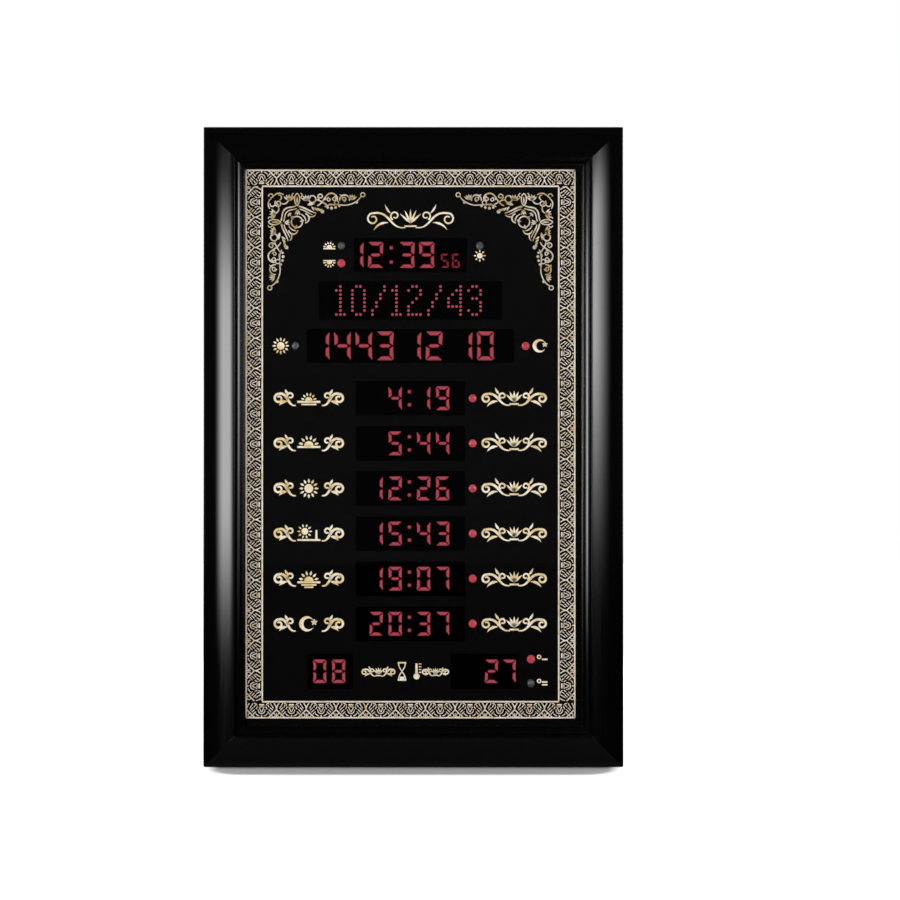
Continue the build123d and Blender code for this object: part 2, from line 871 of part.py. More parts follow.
def speaker_wall(radius):
    """The outline of one of the speaker's round walls."""
    return RegularPolygon(radius, speaker_flats)


def speaker_basket():
    """Deep-drawn steel frame: a square flange and a round cup that carries the magnet."""
    x, z = speaker_place()
    seat = back_thickness
    rear = seat + basket_depth
    outside = speaker_wall(basket_mouth + basket_sheet)
    flange = Rectangle(speaker_side, speaker_side) - speaker_wall(basket_mouth)
    wall = outside - speaker_wall(basket_mouth)
    floor = outside - speaker_wall(gap_radius)
    return (plate(flange, seat, seat + basket_sheet, x, z) + plate(wall, seat, rear, x, z)
            + plate(floor, rear - basket_sheet, rear, x, z))


def speaker_magnet():
    """Ferrite ring and steel yoke in one, with the ring gap that the coil moves in."""
    x, z = speaker_place()
    start = back_thickness + basket_depth
    yoke = start + magnet_height - yoke_thickness
    ring = speaker_wall(magnet_radius) - speaker_wall(gap_radius)
    pole = speaker_wall(pole_radius)
    return (plate(ring, start, yoke, x, z) + plate(pole, start - basket_sheet, yoke, x, z)
            + plate(speaker_wall(magnet_radius), yoke, yoke + yoke_thickness, x, z))


def cone_form(front, rim):
    """A many-sided block from front to the cone's neck, sloped off from its rim inwards."""
    inset = (cone_radius - coil_radius) * cos(pi / speaker_flats)
    block = plate(speaker_wall(cone_radius), front, rim + cone_depth, *speaker_place())
    neck = block.faces().sort_by(Axis.Y)[0]
    return chamfer(neck.edges(), inset, cone_depth, reference=neck)


def speaker_cone():
    """Paper cone closed by its dust cap, opening towards the grille."""
    rim = back_thickness + cone_stand
    return cone_form(rim, rim + cone_paper) - cone_form(rim - cone_paper, rim)


def speaker_voice_coil():
    start = back_thickness + cone_stand + cone_depth + cone_paper
    ring = speaker_wall(coil_radius) - speaker_wall(coil_radius - coil_wall)
    return plate(ring, start, start + coil_length, *speaker_place())


def speaker_surround():
    """Soft ring from the cone's rim out to the basket's wall."""
    rim = back_thickness + cone_stand
    ring = speaker_wall(basket_mouth) - speaker_wall(cone_radius)
    return plate(ring, rim, rim + cone_paper, *speaker_place())


# ---------------------------------------------------------------- power inlet and leads
def inlet_cup():
    """A moulded recess in the back, so that the plug points down and clears the wall."""
    def recess(grow, mouth_v):
        """The recess seen from the side, with its walls moved out by grow."""
        top = cup_top - cup_wall + grow
        bottom = cup_top - cup_height + cup_wall - grow
        floor = cup_depth - cup_wall + grow
        side = Polygon(
            (top, mouth_v), (top, floor), (bottom + cup_ramp, floor),
            (bottom, 0), (bottom, mouth_v), align=None)
        width = cup_width - 2 * cup_wall + 2 * grow
        return upright_profile(side, width, print_x + cup_x - width / 2, print_z)

    mouth = -cup_flange_thickness
    x, z = print_x + cup_x, print_z + cup_top - cup_height / 2
    flange = slab(cup_width + 2 * cup_flange, cup_height + 2 * cup_flange, mouth, 0, x, z)
    cup = recess(cup_wall, mouth) + flange - recess(0, mouth)
    hole_side = jack_side + 2 * jack_clearance
    jack_hole = Box(hole_side, hole_side, 2 * cup_wall)
    return cup - Pos(x, -jack_v, print_z + cup_top - cup_wall / 2) * jack_hole


def jack_cylinder(radius, bottom, top):
    """A cylinder on the jack's upright axis, between two heights from the cup's inner top."""
    x = print_x + cup_x
    z = print_z + cup_top - cup_wall
    return Pos(x, -jack_v, z + (bottom + top) / 2) * Cylinder(radius, top - bottom)


def jack_block(side, bottom, top):
    """A square block on the jack's upright axis, between two heights from the inner top."""
    x = print_x + cup_x
    z = print_z + cup_top - cup_wall
    return Pos(x, -jack_v, z + (bottom + top) / 2) * Box(side, side, top - bottom)


def dc_inlet():
    """The socket for the supply's plug, snapped up through the cup's top wall."""
    mouth = -jack_flange_thickness
    bore_end = mouth + jack_bore_depth
    socket = jack_block(jack_flange_side, mouth, 0) + jack_block(jack_side, 0, jack_length)
    socket -= jack_cylinder(jack_bore_radius, mouth, bore_end)
    return socket - jack_cylinder(jack_pin_radius, bore_end, bore_end + jack_pin_seat)


def dc_inlet_pin():
    bore_end = jack_bore_depth - jack_flange_thickness
    return jack_cylinder(jack_pin_radius, bore_end - jack_pin_length, bore_end + jack_pin_seat)


def internal_leads():
    """The speaker's lead under the prayer board, and the inlet's lead to the main board."""
    low = back_thickness + lead_lift
    high = main_board_face + lead_thickness / 2
    edge = main_board_left
    speaker_line = [(speaker_x + speaker_side / 2, low), (edge - 3 * lead_slope, low),
                    (edge - lead_slope, high), (edge + lead_landing, high)]
    jack_end = cup_top - cup_wall + jack_length
    inlet_line = [(jack_end, jack_v), (jack_end + lead_straight, jack_v),
                  (main_board_bottom - lead_clearance, high),
                  (main_board_bottom + lead_landing, high)]
    left = print_x + cup_x - lead_width / 2
    return group([
        level_profile(strip_profile(speaker_line, lead_thickness), lead_width,
                      print_x, print_z + lead_run_z),
        upright_profile(strip_profile(inlet_line, lead_thickness), lead_width, left, print_z)])


# ---------------------------------------------------------------- the whole clock
def build_nodes():
    nodes = frame_rails()
    nodes["corner_v_nails"] = corner_v_nails()
    nodes["front_panel"] = front_panel()
    nodes["face_film"] = face_film()
    nodes["window_filters"] = window_filters()
    nodes["spacer_strips"] = spacer_strips()
    nodes["back_panel"] = back_panel()
    for index, (x, z, turn) in enumerate(turn_button_places(), start=1):
        nodes[f"turn_button_{index}"] = turn_button(x, z, turn)
    nodes["turn_button_screws"] = group(
        [turn_button_screw(x, z) for x, z, turn in turn_button_places()])
    nodes["keyhole_plates"] = keyhole_plates()
    nodes["wall_bumpers"] = wall_bumpers()
    for name, edges in display_boards().items():
        nodes[name] = board(edges, board_back)
    nodes["main_board"] = board(main_board_edges(), main_board_back)
    nodes.update(display_nodes())
    nodes["matrix_modules"] = matrix_modules()
    nodes["indicator_leds"] = indicator_leds()
    nodes["board_standoffs"] = board_standoffs()
    nodes["main_board_chips"] = main_board_chips()
    nodes["power_capacitors"] = power_capacitors()
    nodes["battery_holder"] = battery_holder()
    nodes["coin_cell"] = coin_cell()
    nodes["cable_sockets"] = cable_sockets()
    nodes["flat_cables"] = flat_cables()
    nodes["ir_receiver"] = ir_receiver()
    nodes["temperature_sensor"] = temperature_sensor()
    nodes["speaker_basket"] = speaker_basket()
    nodes["speaker_magnet"] = speaker_magnet()
    nodes["speaker_cone"] = speaker_cone()
    nodes["speaker_voice_coil"] = speaker_voice_coil()
    nodes["speaker_surround"] = speaker_surround()
    nodes["inlet_cup"] = inlet_cup()
    nodes["dc_inlet"] = dc_inlet()
    nodes["dc_inlet_pin"] = dc_inlet_pin()
    nodes["internal_leads"] = internal_leads()
    return nodes


os.makedirs("parts", exist_ok=True)
for node_name, shape in build_nodes().items():
    export_step(shape, f"parts/{node_name}.step")
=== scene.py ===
from math import asin, cos, pi, radians, sin, tan

import bmesh
import bpy
from bmesh.types import BMEdge, BMFace, BMVert
from mathutils import Matrix, Vector
from mathutils.geometry import interpolate_bezier


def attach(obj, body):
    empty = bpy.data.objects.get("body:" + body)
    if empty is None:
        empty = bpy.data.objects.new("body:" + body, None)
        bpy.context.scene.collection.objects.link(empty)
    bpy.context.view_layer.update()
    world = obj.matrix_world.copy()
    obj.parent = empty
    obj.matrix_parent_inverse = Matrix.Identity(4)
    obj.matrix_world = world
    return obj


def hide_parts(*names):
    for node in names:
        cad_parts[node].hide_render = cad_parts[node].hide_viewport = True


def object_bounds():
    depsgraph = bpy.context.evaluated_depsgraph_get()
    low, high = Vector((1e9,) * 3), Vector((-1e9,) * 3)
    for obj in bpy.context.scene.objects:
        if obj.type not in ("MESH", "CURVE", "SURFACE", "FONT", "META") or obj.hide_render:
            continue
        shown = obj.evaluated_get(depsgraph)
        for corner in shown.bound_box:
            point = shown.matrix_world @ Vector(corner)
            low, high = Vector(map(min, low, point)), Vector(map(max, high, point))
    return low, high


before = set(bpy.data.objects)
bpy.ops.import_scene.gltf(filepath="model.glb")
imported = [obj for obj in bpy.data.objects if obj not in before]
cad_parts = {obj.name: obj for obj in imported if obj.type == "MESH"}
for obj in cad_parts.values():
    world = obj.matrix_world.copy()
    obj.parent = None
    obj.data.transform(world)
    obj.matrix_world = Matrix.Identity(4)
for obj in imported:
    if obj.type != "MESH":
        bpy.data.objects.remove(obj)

cad_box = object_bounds()
scene = bpy.context.scene

# ---------------- studio
# A white floor under plain soft light. Two low softboxes with soft edges stand left and right
# of the camera and lay one long highlight along each stile. A third lights the back. What
# gloss mirrors elsewhere is a dark room with a white wall behind the clock.
scene.view_settings.view_transform = "Standard"


def linear(code):
    """An sRGB colour such as c8a96a as linear red, green, blue and alpha."""
    parts = [int(code[at:at + 2], 16) / 255 for at in (0, 2, 4)]
    return tuple(part / 12.92 if part < 0.04045 else ((part + 0.055) / 1.055) ** 2.4
                 for part in parts) + (1.0,)


def fill(tree, node, given):
    """Link given sockets and nodes to a node's sockets, and set the other values."""
    for key, value in given.items():
        if isinstance(value, bpy.types.Node):
            value = value.outputs[0]
        if isinstance(value, bpy.types.NodeSocket):
            tree.links.new(value, node.inputs[key])
        elif isinstance(key, str) and hasattr(node, key):
            setattr(node, key, value)
        else:
            node.inputs[key].default_value = value
    return node


def add(tree, kind, given=None):
    """Add a shader node with its settings and links."""
    return fill(tree, tree.nodes.new("ShaderNode" + kind), given or {})


def start_finish(name, values):
    """A new material, its nodes and its Principled shader with the values that stay even."""
    material = bpy.data.materials.new(name)
    material.use_nodes = True
    tree = material.node_tree
    return material, tree, fill(tree, tree.nodes["Principled BSDF"], values)


def mesh_from(name, bm, finishes):
    """Turn a bmesh into a mesh with its materials."""
    mesh = bpy.data.meshes.new(name)
    bm.to_mesh(mesh)
    bm.free()
    for finish in finishes:
        mesh.materials.append(finish)
    return mesh


def stand(name, data):
    """Put a mesh, lamp or camera into the scene."""
    thing = bpy.data.objects.new(name, data)
    scene.collection.objects.link(thing)
    return thing


ambient, dark_room, white_wall = 0.45, 0.015, 0.7
world = bpy.data.worlds.new("studio")
scene.world = world
world.use_nodes = True
tree = world.node_tree
rays = add(tree, "LightPath").outputs
mirror = add(tree, "Math", {"operation": "MAXIMUM", 0: rays["Is Glossy Ray"],
                            1: rays["Is Transmission Ray"]})
towards = add(tree, "SeparateXYZ", {0: add(tree, "TexCoord").outputs["Generated"]})
room = add(tree, "MapRange", {
    "interpolation_type": "SMOOTHSTEP", "Value": towards.outputs["Y"], "From Min": 0.9,
    "From Max": 0.98, "To Min": dark_room - ambient, "To Max": white_wall - ambient})
level = add(tree, "Math", {"operation": "MULTIPLY_ADD", 0: rays["Is Camera Ray"],
                           1: 1 - ambient, 2: ambient})
level = add(tree, "Math", {"operation": "MULTIPLY_ADD", 0: mirror, 1: room, 2: level})
fill(tree, tree.nodes["Background"], {"Color": (1, 1, 1, 1), "Strength": level})

# The paper is lifted to white for camera rays, but the lift is left off in a narrow strip along
# the clock: a painted shadow. Further off in front the floor is painted black for reflections
# alone, a painted dark reflection with no cloth there. Distances here are in metres.
painted_shadow_half_width, painted_shadow_half_depth, sideways = 0.165, 0.044, 2.6
paper, tree, shader = start_finish("white_seamless_paper", {
    "Base Color": linear("e6e6e6"), "Roughness": 0.9, "Specular IOR Level": 0.0})
away = add(tree, "TexCoord").outputs["Object"]
for operation, value in (("ABSOLUTE", (0, 0, 0)),
                         ("SUBTRACT", (painted_shadow_half_width, painted_shadow_half_depth, 10.0)),
                         ("MAXIMUM", (0, 0, 0)), ("MULTIPLY", (sideways, 1, 1))):
    away = add(tree, "VectorMath", {"operation": operation, 0: away, 1: value})
away = add(tree, "VectorMath", {"operation": "LENGTH", 0: away}).outputs["Value"]
# Painted shadow: no white lift within the strip along the clock, and the full lift beyond it.
lift_outside_painted_shadow = add(tree, "MapRange", {"interpolation_type": "SMOOTHSTEP", "Value": away,
                                "From Min": 0.07, "From Max": 0.12, "To Max": 0.9})
rays = add(tree, "LightPath").outputs
lift = add(tree, "Math", {"operation": "MULTIPLY", 0: rays["Is Camera Ray"], 1: lift_outside_painted_shadow})
glow = add(tree, "Emission", {"Color": (1, 1, 1, 1), "Strength": lift})
white = add(tree, "AddShader", {0: shader, 1: glow})
# Painted dark reflection: reflection rays see the floor turned black, more so further from the
# clock.
fade_share = add(tree, "MapRange", {"Value": away, "From Min": 0.1, "From Max": 0.3,
                               "To Min": 0.8, "To Max": 1.0})
mirror = add(tree, "Math", {"operation": "MAXIMUM", 0: rays["Is Glossy Ray"],
                            1: rays["Is Transmission Ray"]})
fade_share = add(tree, "Math", {"operation": "MULTIPLY", 0: fade_share, 1: mirror})
black = add(tree, "Emission", {"Strength": 0.0})
floor_look = add(tree, "MixShader", {0: fade_share, 1: white, 2: black})
fill(tree, tree.nodes["Material Output"], {"Surface": floor_look})

floor_radius, floor_gap = 9.0, 0.0004
bm = bmesh.new()
bmesh.ops.create_circle(bm, cap_ends=True, segments=96, radius=floor_radius)
bmesh.ops.translate(bm, vec=(0, 0, cad_box[0].z - floor_gap), verts=bm.verts)
stand("floor", mesh_from("floor", bm, (paper,)))

# Each softbox fades from its edges inwards, over the shares of its width and height given.
subject = Vector((0, 0, -0.30))
for name, azimuth, distance, half_angle, height, rise, radiance, start_soft, end_soft in (
        ("left_softbox", -42, 2.5, 37, 0.86, 0.05, 10.4, (0.50, 0.35), (0.28, 0.32)),
        ("right_softbox", 43, 2.5, 37.2, 0.83, 0.085, 9.3, (0.06, 0.64), (0.84, 0.17)),
        ("back_softbox", 180, 2.6, 48, 2.0, 0.50, 2.1, (0.3, 0.3), (0.3, 0.3))):
    width = 2 * distance * tan(radians(half_angle))
    lamp = bpy.data.lights.new(name, "AREA")
    lamp.shape = "RECTANGLE"
    lamp.size, lamp.size_y = width, height
    lamp.energy = radiance * pi * width * height
    lamp.use_nodes = True
    tree = lamp.node_tree
    where = add(tree, "NewGeometry").outputs["Parametric"]
    starts = {7: (0, 0, 0), 8: (*start_soft, 1), 9: (0, 0, 0), 10: (1, 1, 1)}
    ends = {7: (1 - end_soft[0], 1 - end_soft[1], 1), 8: (1, 1, 2), 9: (1, 1, 1), 10: (0, 0, 0)}
    rising, falling = [
        add(tree, "MapRange", {"data_type": "FLOAT_VECTOR", "interpolation_type": "SMOOTHSTEP",
                               6: where, **ranges}).outputs[1] for ranges in (starts, ends)]
    both = add(tree, "VectorMath", {"operation": "MULTIPLY", 0: rising, 1: falling})
    parts = add(tree, "SeparateXYZ", {0: both}).outputs
    fade_share = add(tree, "Math", {"operation": "MULTIPLY", 0: parts["X"], 1: parts["Y"]})
    fade_share = add(tree, "Math", {"operation": "POWER", 0: fade_share, 1: 2.0})
    fill(tree, tree.nodes["Emission"], {"Strength": fade_share})
    softbox = stand(name, lamp)
    turn = radians(azimuth)
    softbox.location = subject + Vector((sin(turn), -cos(turn), 0)) * distance
    softbox.location.z += rise
    aim = subject + Vector((0, 0, rise / 3)) - softbox.location
    softbox.rotation_euler = aim.to_track_quat("-Z", "Y").to_euler()
    softbox.visible_camera = False

camera = bpy.data.cameras.new("camera")
camera.sensor_width = 36.0
camera.lens = 201.0
scene.camera = stand("camera", camera)
scene.camera.location = (0.03665, -5.044, -0.3030)
scene.camera.rotation_euler = (radians(90), 0, 0)

# ---------------- moulded frame
# Four lengths of fibreboard moulding, planed to one section and mitred, with the back and the
# rebate left raw. The two keyhole pockets are routed into the top rail's back. Sizes from here
# on are in millimetres.


def put(name, bm, finishes, node=None, slot=None, body="clock"):
    """Make a bmesh drawn in millimetres a piece that rides on a body."""
    sharp = radians(32)
    bmesh.ops.scale(bm, vec=Vector((0.001, 0.001, 0.001)), verts=bm.verts)
    for face in bm.faces:
        face.smooth = True
    for edge in bm.edges:
        edge.smooth = edge.is_manifold and edge.calc_face_angle() < sharp
    piece = stand(name, mesh_from(name, bm, finishes))
    piece.modifiers.new("flats_keep_true", "WEIGHTED_NORMAL").keep_sharp = True
    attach(piece, body)
    if node:
        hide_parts(node)


def mottled(name, values, grain, noise, low, high, streak=None, bump=0.0, depth=0.0001):
    """A finish whose grains, of a size in millimetres, vary it between two colours.

    Each colour comes with its place in the noise. A streak is how long the grains are upright.
    """
    material, tree, shader = start_finish(name, values)
    place = add(tree, "TexCoord").outputs["Object"]
    if streak:
        place = add(tree, "Mapping", {"Vector": place, "Scale": (1, 1, grain / streak)})
    grains = add(tree, "TexNoise", {"Vector": place, "Scale": 1000 / grain, **noise})
    tone = add(tree, "ValToRGB", {"Fac": grains})
    for element, (code, position) in zip(tone.color_ramp.elements, (low, high)):
        element.color, element.position = linear(code), position
    fill(tree, shader, {"Base Color": tone})
    if bump:
        fill(tree, shader, {"Normal": add(tree, "Bump", {
            "Height": grains, "Strength": bump, "Distance": depth})})
    return material, tree, shader, grains


# Polished lacquer over an undercoat brushed upright: black but for what it mirrors, with faint
# upright streaks in the highlights.
black_lacquer, tree, shader, grain = mottled(
    "black_gloss_lacquer", {"IOR": 1.5}, 2.381, {"Detail": 4.0, "Roughness": 0.6},
    ("020202", 0.3), ("060607", 0.75), streak=111.1, bump=0.15)
fill(tree, shader, {"Roughness": add(tree, "MapRange", {
    "Value": grain, "From Min": 0.3, "From Max": 0.7, "To Min": 0.06, "To Max": 0.11})})

# Raw, machined fibreboard: matt and evenly brown, with a fine nap of fibres.
raw_board = mottled("raw_fibreboard", {"Roughness": 0.85}, 1.111,
                    {"Detail": 6.0, "Roughness": 0.7}, ("7c5f41", 0.35), ("a6855e", 0.7),
                    bump=0.4, depth=0.0002)[0]

centre_z = -300.0
frame_half_width, frame_half_height, rail_width = 210.0, 320.0, 42.0
rebate_edge, rebate_depth = 34.0, 29.0
crown_centre, crown_radius = Vector((32.0, -10.667, 0)), 33.333
roll_centre, nose_centre = Vector((35.0, -33.4, 0)), Vector((41.2, -32.5, 0))
worn_tip = 0.8                  # how much of a mitre's sharp outer corner is sanded off


def verts_in(items):
    """The vertices among the parts that an operator gives."""
    return [item for item in items if isinstance(item, BMVert)]


def chain(bm, vert, *stops):
    """Draw edges from a vertex through stops, and give the last vertex."""
    for across, depth in stops:
        vert = bmesh.ops.extrude_vert_indiv(bm, verts=[vert])["verts"][0]
        vert.co = Vector((across, -depth, 0))
    return vert


def arc(bm, vert, centre, angle, steps):
    """Draw an arc of edges from a vertex about a centre, and give the last vertex."""
    swept = bmesh.ops.spin(bm, geom=[vert], cent=centre, axis=(0, 0, 1), angle=angle,
                           steps=steps)
    return verts_in(swept["geom_last"])[0]


def soften(bm, edges, size, steps=2):
    """Round edges off."""
    bmesh.ops.bevel(bm, geom=edges, offset=size, segments=steps, profile=0.5,
                    affect="EDGES", material=-1, clamp_overlap=True)


def sharper_than(bm, angle):
    """The edges that turn by more than an angle in degrees."""
    return [edge for edge in bm.edges if edge.calc_face_angle(0) > radians(angle)]


def moulding(bm, half_length, half_span):
    """One mitred length of the moulding, on the left of the frame's centre.

    Its section is a crown, a step up to the lip, a roll that mirrors the softbox across the
    frame as a thin line, and the nose over the panel.
    """
    first = bm.verts.new((0, 0, 0))
    start = chain(bm, first, (0, 20.0))
    crest = arc(bm, start, crown_centre, asin(crown_centre.x / crown_radius), 22)
    lip = chain(bm, crest, (32.0, 36.0), (34.9, 36.0), (35.0, 38.2))
    roll = arc(bm, lip, roll_centre, radians(43), 12)
    sight = chain(bm, roll, (38.3, 32.6), (40.1, 32.6), (40.2, 33.3), (41.2, 33.3))
    nose = arc(bm, sight, nose_centre, radians(70), 8)
    back = chain(bm, nose, (rail_width, rebate_depth), (rebate_edge, rebate_depth),
                 (rebate_edge, 0))
    bm.edges.new((back, first))
    section = bmesh.ops.contextual_create(bm, geom=bm.edges[:])["faces"]
    far = verts_in(bmesh.ops.extrude_face_region(bm, geom=section)["geom"])
    for vert in set(bm.verts) - set(far):
        vert.co.z = vert.co.x - half_length
    for vert in far:
        vert.co.z = half_length - vert.co.x
    bmesh.ops.translate(bm, vec=(-half_span, 0, 0), verts=bm.verts)
    for end in (-1, 1):
        outwards = Vector((-1, 0, end)).normalized()
        corner = Vector((-half_span, 0, end * half_length))
        cut = bmesh.ops.bisect_plane(
            bm, geom=bm.verts[:] + bm.edges[:] + bm.faces[:], plane_co=corner - outwards * worn_tip,
            plane_no=outwards, clear_outer=True)
        rim = [item for item in cut["geom_cut"] if isinstance(item, BMEdge)]
        bmesh.ops.contextual_create(bm, geom=rim)
    bmesh.ops.recalc_face_normals(bm, faces=bm.faces)
    soften(bm, sharper_than(bm, 40), 0.12)


facing = Matrix.Rotation(radians(90), 4, "X")


def rounded(bm, width, height, radius, x, z, depth):
    """Draw a closed line of edges: a rectangle with rounded corners, or a circle."""
    turn = facing @ Matrix.Rotation(radians(7.5), 4, "Z")
    verts = bmesh.ops.create_circle(bm, segments=24, radius=radius, matrix=turn)["verts"]
    for vert in verts:
        vert.co.x += (width / 2 - radius) * (1 if vert.co.x > 0 else -1) + x
        vert.co.z += (height / 2 - radius) * (1 if vert.co.z > 0 else -1) + z
        vert.co.y = -depth


def thicken(bm, height):
    """Give flat faces a thickness towards the viewer, or towards the wall if negative."""
    kept = bmesh.ops.extrude_face_region(bm, geom=bm.faces[:], use_keep_orig=True)["geom"]
    bmesh.ops.translate(bm, vec=(0, -height, 0), verts=verts_in(kept))
    bmesh.ops.recalc_face_normals(bm, faces=bm.faces)


def sheet(bm, height):
    """Fill the drawn outlines, but not the openings in them, and thicken what is filled."""
    bmesh.ops.triangle_fill(bm, use_beauty=True, edges=bm.edges[:], normal=(0, -1, 0))
    thicken(bm, height)


def carve(bm, tool, finishes):
    """Cut one bmesh out of another, and give what is left."""
    things = [stand("carving", mesh_from("carving", part, finishes)) for part in (bm, tool)]
    cut = things[0].modifiers.new("cut", "BOOLEAN")
    cut.object, cut.solver, cut.use_self = things[1], "EXACT", True
    shape = things[0].evaluated_get(bpy.context.evaluated_depsgraph_get())
    left = bmesh.new()
    left.from_mesh(shape.to_mesh())
    shape.to_mesh_clear()
    for thing in things:
        mesh = thing.data
        bpy.data.objects.remove(thing)
        bpy.data.meshes.remove(mesh)
    return left


keyhole_places = (-150.0, 150.0)
pocket_width, pocket_height, pocket_depth = 12, 20, 8.0
for name, half_length, half_span, turn in (
        ("left_stile", frame_half_height, frame_half_width, 0),
        ("right_stile", frame_half_height, frame_half_width, 180),
        ("top_rail", frame_half_width, frame_half_height, 90),
        ("bottom_rail", frame_half_width, frame_half_height, -90)):
    bm = bmesh.new()
    moulding(bm, half_length, half_span)
    for face in bm.faces:
        middle = face.calc_center_median()
        on_back = middle.y > -0.3 and face.normal.y > 0.9
        in_rebate = (face.normal.x > 0.9 and middle.x > rebate_edge - 1 - half_span
                     and middle.y > 0.1 - rebate_depth)
        face.material_index = 1 if on_back or in_rebate else 0
    bmesh.ops.rotate(bm, matrix=Matrix.Rotation(radians(turn), 3, "Y"), verts=bm.verts)
    bmesh.ops.translate(bm, vec=(0, 0, centre_z), verts=bm.verts)
    if name == "top_rail":
        pockets = bmesh.new()
        for x in keyhole_places:
            rounded(pockets, pocket_width, pocket_height, pocket_width / 2, x, 4, -0.5)
        sheet(pockets, pocket_depth + 0.5)
        for face in pockets.faces:
            face.material_index = 1
        bm = carve(bm, pockets, (black_lacquer, raw_board))
    put(name + "_moulding", bm, (black_lacquer, raw_board), node=name, slot="black_lacquer")

# ---------------- acrylic front
# A sheet of cast acrylic, 3 mm thick, with its cut edges scraped. Everything that is seen of
# the face lies behind it. It is clear, and its glossy front mirrors the room.
clear_acrylic, tree, shader = start_finish("clear_cast_acrylic", {
    "Base Color": (1, 1, 1, 1), "Transmission Weight": 1.0, "IOR": 1.49, "Roughness": 0.0})
rays = add(tree, "LightPath").outputs
unbent = add(tree, "Math", {"operation": "MAXIMUM", 0: rays["Is Shadow Ray"],
                            1: rays["Is Diffuse Ray"]})
through = add(tree, "BsdfTransparent", {"Color": (0.97, 0.97, 0.97, 1)})
pane = add(tree, "MixShader", {0: unbent, 1: shader, 2: through})
fill(tree, tree.nodes["Material Output"], {"Surface": pane})


def linked(verts):
    """The edges and the faces of vertices."""
    edges = dict.fromkeys(edge for vert in verts for edge in vert.link_edges)
    faces = dict.fromkeys(face for vert in verts for face in vert.link_faces)
    return list(edges), list(faces)


def block(bm, width, height, v_back, v_front, x, z):
    """Add a box between two depths, with its edges softened."""
    place = (Matrix.Translation((x, -(v_back + v_front) / 2, z))
             @ Matrix.Diagonal((width, v_front - v_back, height, 1)))
    verts = bmesh.ops.create_cube(bm, size=1.0, matrix=place)["verts"]
    soften(bm, linked(verts)[0], 0.3)


pane_width, pane_height, pane_back = 350, 570, 26.06
bm = bmesh.new()
block(bm, pane_width, pane_height, pane_back, rebate_depth, 0, centre_z)
put("acrylic_sheet", bm, (clear_acrylic,), node="front_panel")

# ---------------- printed film
# A black film, 0.3 mm thick, laminated to the acrylic's back. The windows are cut out of it
# with rounded corners, and a round hole is punched for each lamp. Its ink is a matt, nearly
# even black.
print_x, print_z = -2.8, -297.0
film_back, film_thickness, hole = 25.7, 0.3, 8.6
black_film = mottled("black_printed_film", {"Roughness": 0.42, "Specular IOR Level": 0.0}, 8.333,
                     {"Detail": 3.0}, ("080808", 0.0), ("0b0b0c", 1.0))[0]

time_row, matrix_row, date_row, status_row = 188.8, 143.3, 98.0, -227.0
prayer_rows = [45.7 - 45.05 * row for row in range(6)]
window_places = [(113.0, 34.2, 0, time_row), (183.4, 38.5, 0, matrix_row),
                 (207.4, 34.0, 0, date_row), (45.5, 34.8, -80.2, status_row),
                 (68.8, 34.8, 74.5, status_row)] + [(109.4, 34.5, 0, z) for z in prayer_rows]
lamp_places = [(-69.2, 197.9, False), (-69.2, 180.7, True), (69.2, 197.9, False),
               (-115.0, date_row, False), (115.0, date_row, True)]
lamp_places += [(62.1, z, True) for z in prayer_rows]
lamp_places += [(120.4, -215.0, True), (120.4, -239.0, False)]


def on_print(bm):
    """Move what is drawn about the print's centre to its place."""
    bmesh.ops.translate(bm, vec=(print_x, 0, print_z), verts=bm.verts)
    return bm


bm = bmesh.new()
for width, height, x, z in window_places:
    rounded(bm, width, height, 2.2, x, z, film_back)
for x, z, lit in lamp_places:
    rounded(bm, hole, hole, hole / 2, x, z, film_back)
rounded(on_print(bm), pane_width, pane_height, 1.0, 0, centre_z, film_back)
sheet(bm, film_thickness)
put("printed_film", bm, (black_film,), node="face_film")

# ---------------- gold print
# Screen-printed ink on the film: a band of interlaced scrolls round the edge, a scrolled
# spandrel in each upper corner, and small signs beside the windows. Metal powder in a clear
# binder gives each ink a satin, slightly uneven gold, here in clouds large enough to show.
gold_ink, cream_ink, sign_ink = [
    mottled(name, {"Roughness": 0.5}, grain, {"Detail": detail}, low, high)[0]
    for name, grain, detail, low, high in (
        ("gold_screen_ink", 7.692, 2.0, ("bca470", 0.42), ("d8cdbc", 0.54)),
        ("cream_screen_ink", 6.25, 4.0, ("dcc9a6", 0.38), ("efe6da", 0.6)),
        ("pale_gold_screen_ink", 7.692, 3.0, ("e2c583", 0.36), ("f4e9d0", 0.56)))]
ink_depth, ink_height = 25.99, 0.05


def stroke(bm, path, widths):
    """Lay a ribbon of ink along (x, z) points. Its width runs through the given widths."""
    last = len(path) - 1
    strip = bmesh.ops.create_grid(bm, x_segments=last, y_segments=1, size=0.5)["verts"]
    for vert in strip:
        share = vert.co.x + 0.5
        index = round(share * last)
        ahead = Vector(path[min(index + 1, last)]) - Vector(path[max(index - 1, 0)])
        across = Vector((-ahead.y, ahead.x)).normalized()
        at = share * (len(widths) - 1)
        low = min(int(at), len(widths) - 2)
        width = widths[low] + (widths[low + 1] - widths[low]) * (at - low)
        edge = Vector(path[index]) + across * (width / 2 if vert.co.y > 0 else -width / 2)
        vert.co = Vector((edge.x, -ink_depth, edge.y))


def spiral(x, z, outer, inner, start, sweep):
    """Points of a spiral about a centre, with its start and sweep in degrees."""
    steps = max(5, int(abs(sweep) / 24))
    points = []
    for step in range(steps + 1):
        share = step / steps
        radius = outer + (inner - outer) * share
        angle = radians(start + sweep * share)
        points.append((x + radius * cos(angle), z + radius * sin(angle)))
    return points


def bent(start, pull_1, pull_2, end, steps=8):
    """Points of a smooth curve from start to end, drawn towards two handles."""
    corners = [Vector((x, z, 0)) for x, z in (start, pull_1, pull_2, end)]
    return [(point.x, point.y) for point in interpolate_bezier(*corners, steps + 1)]


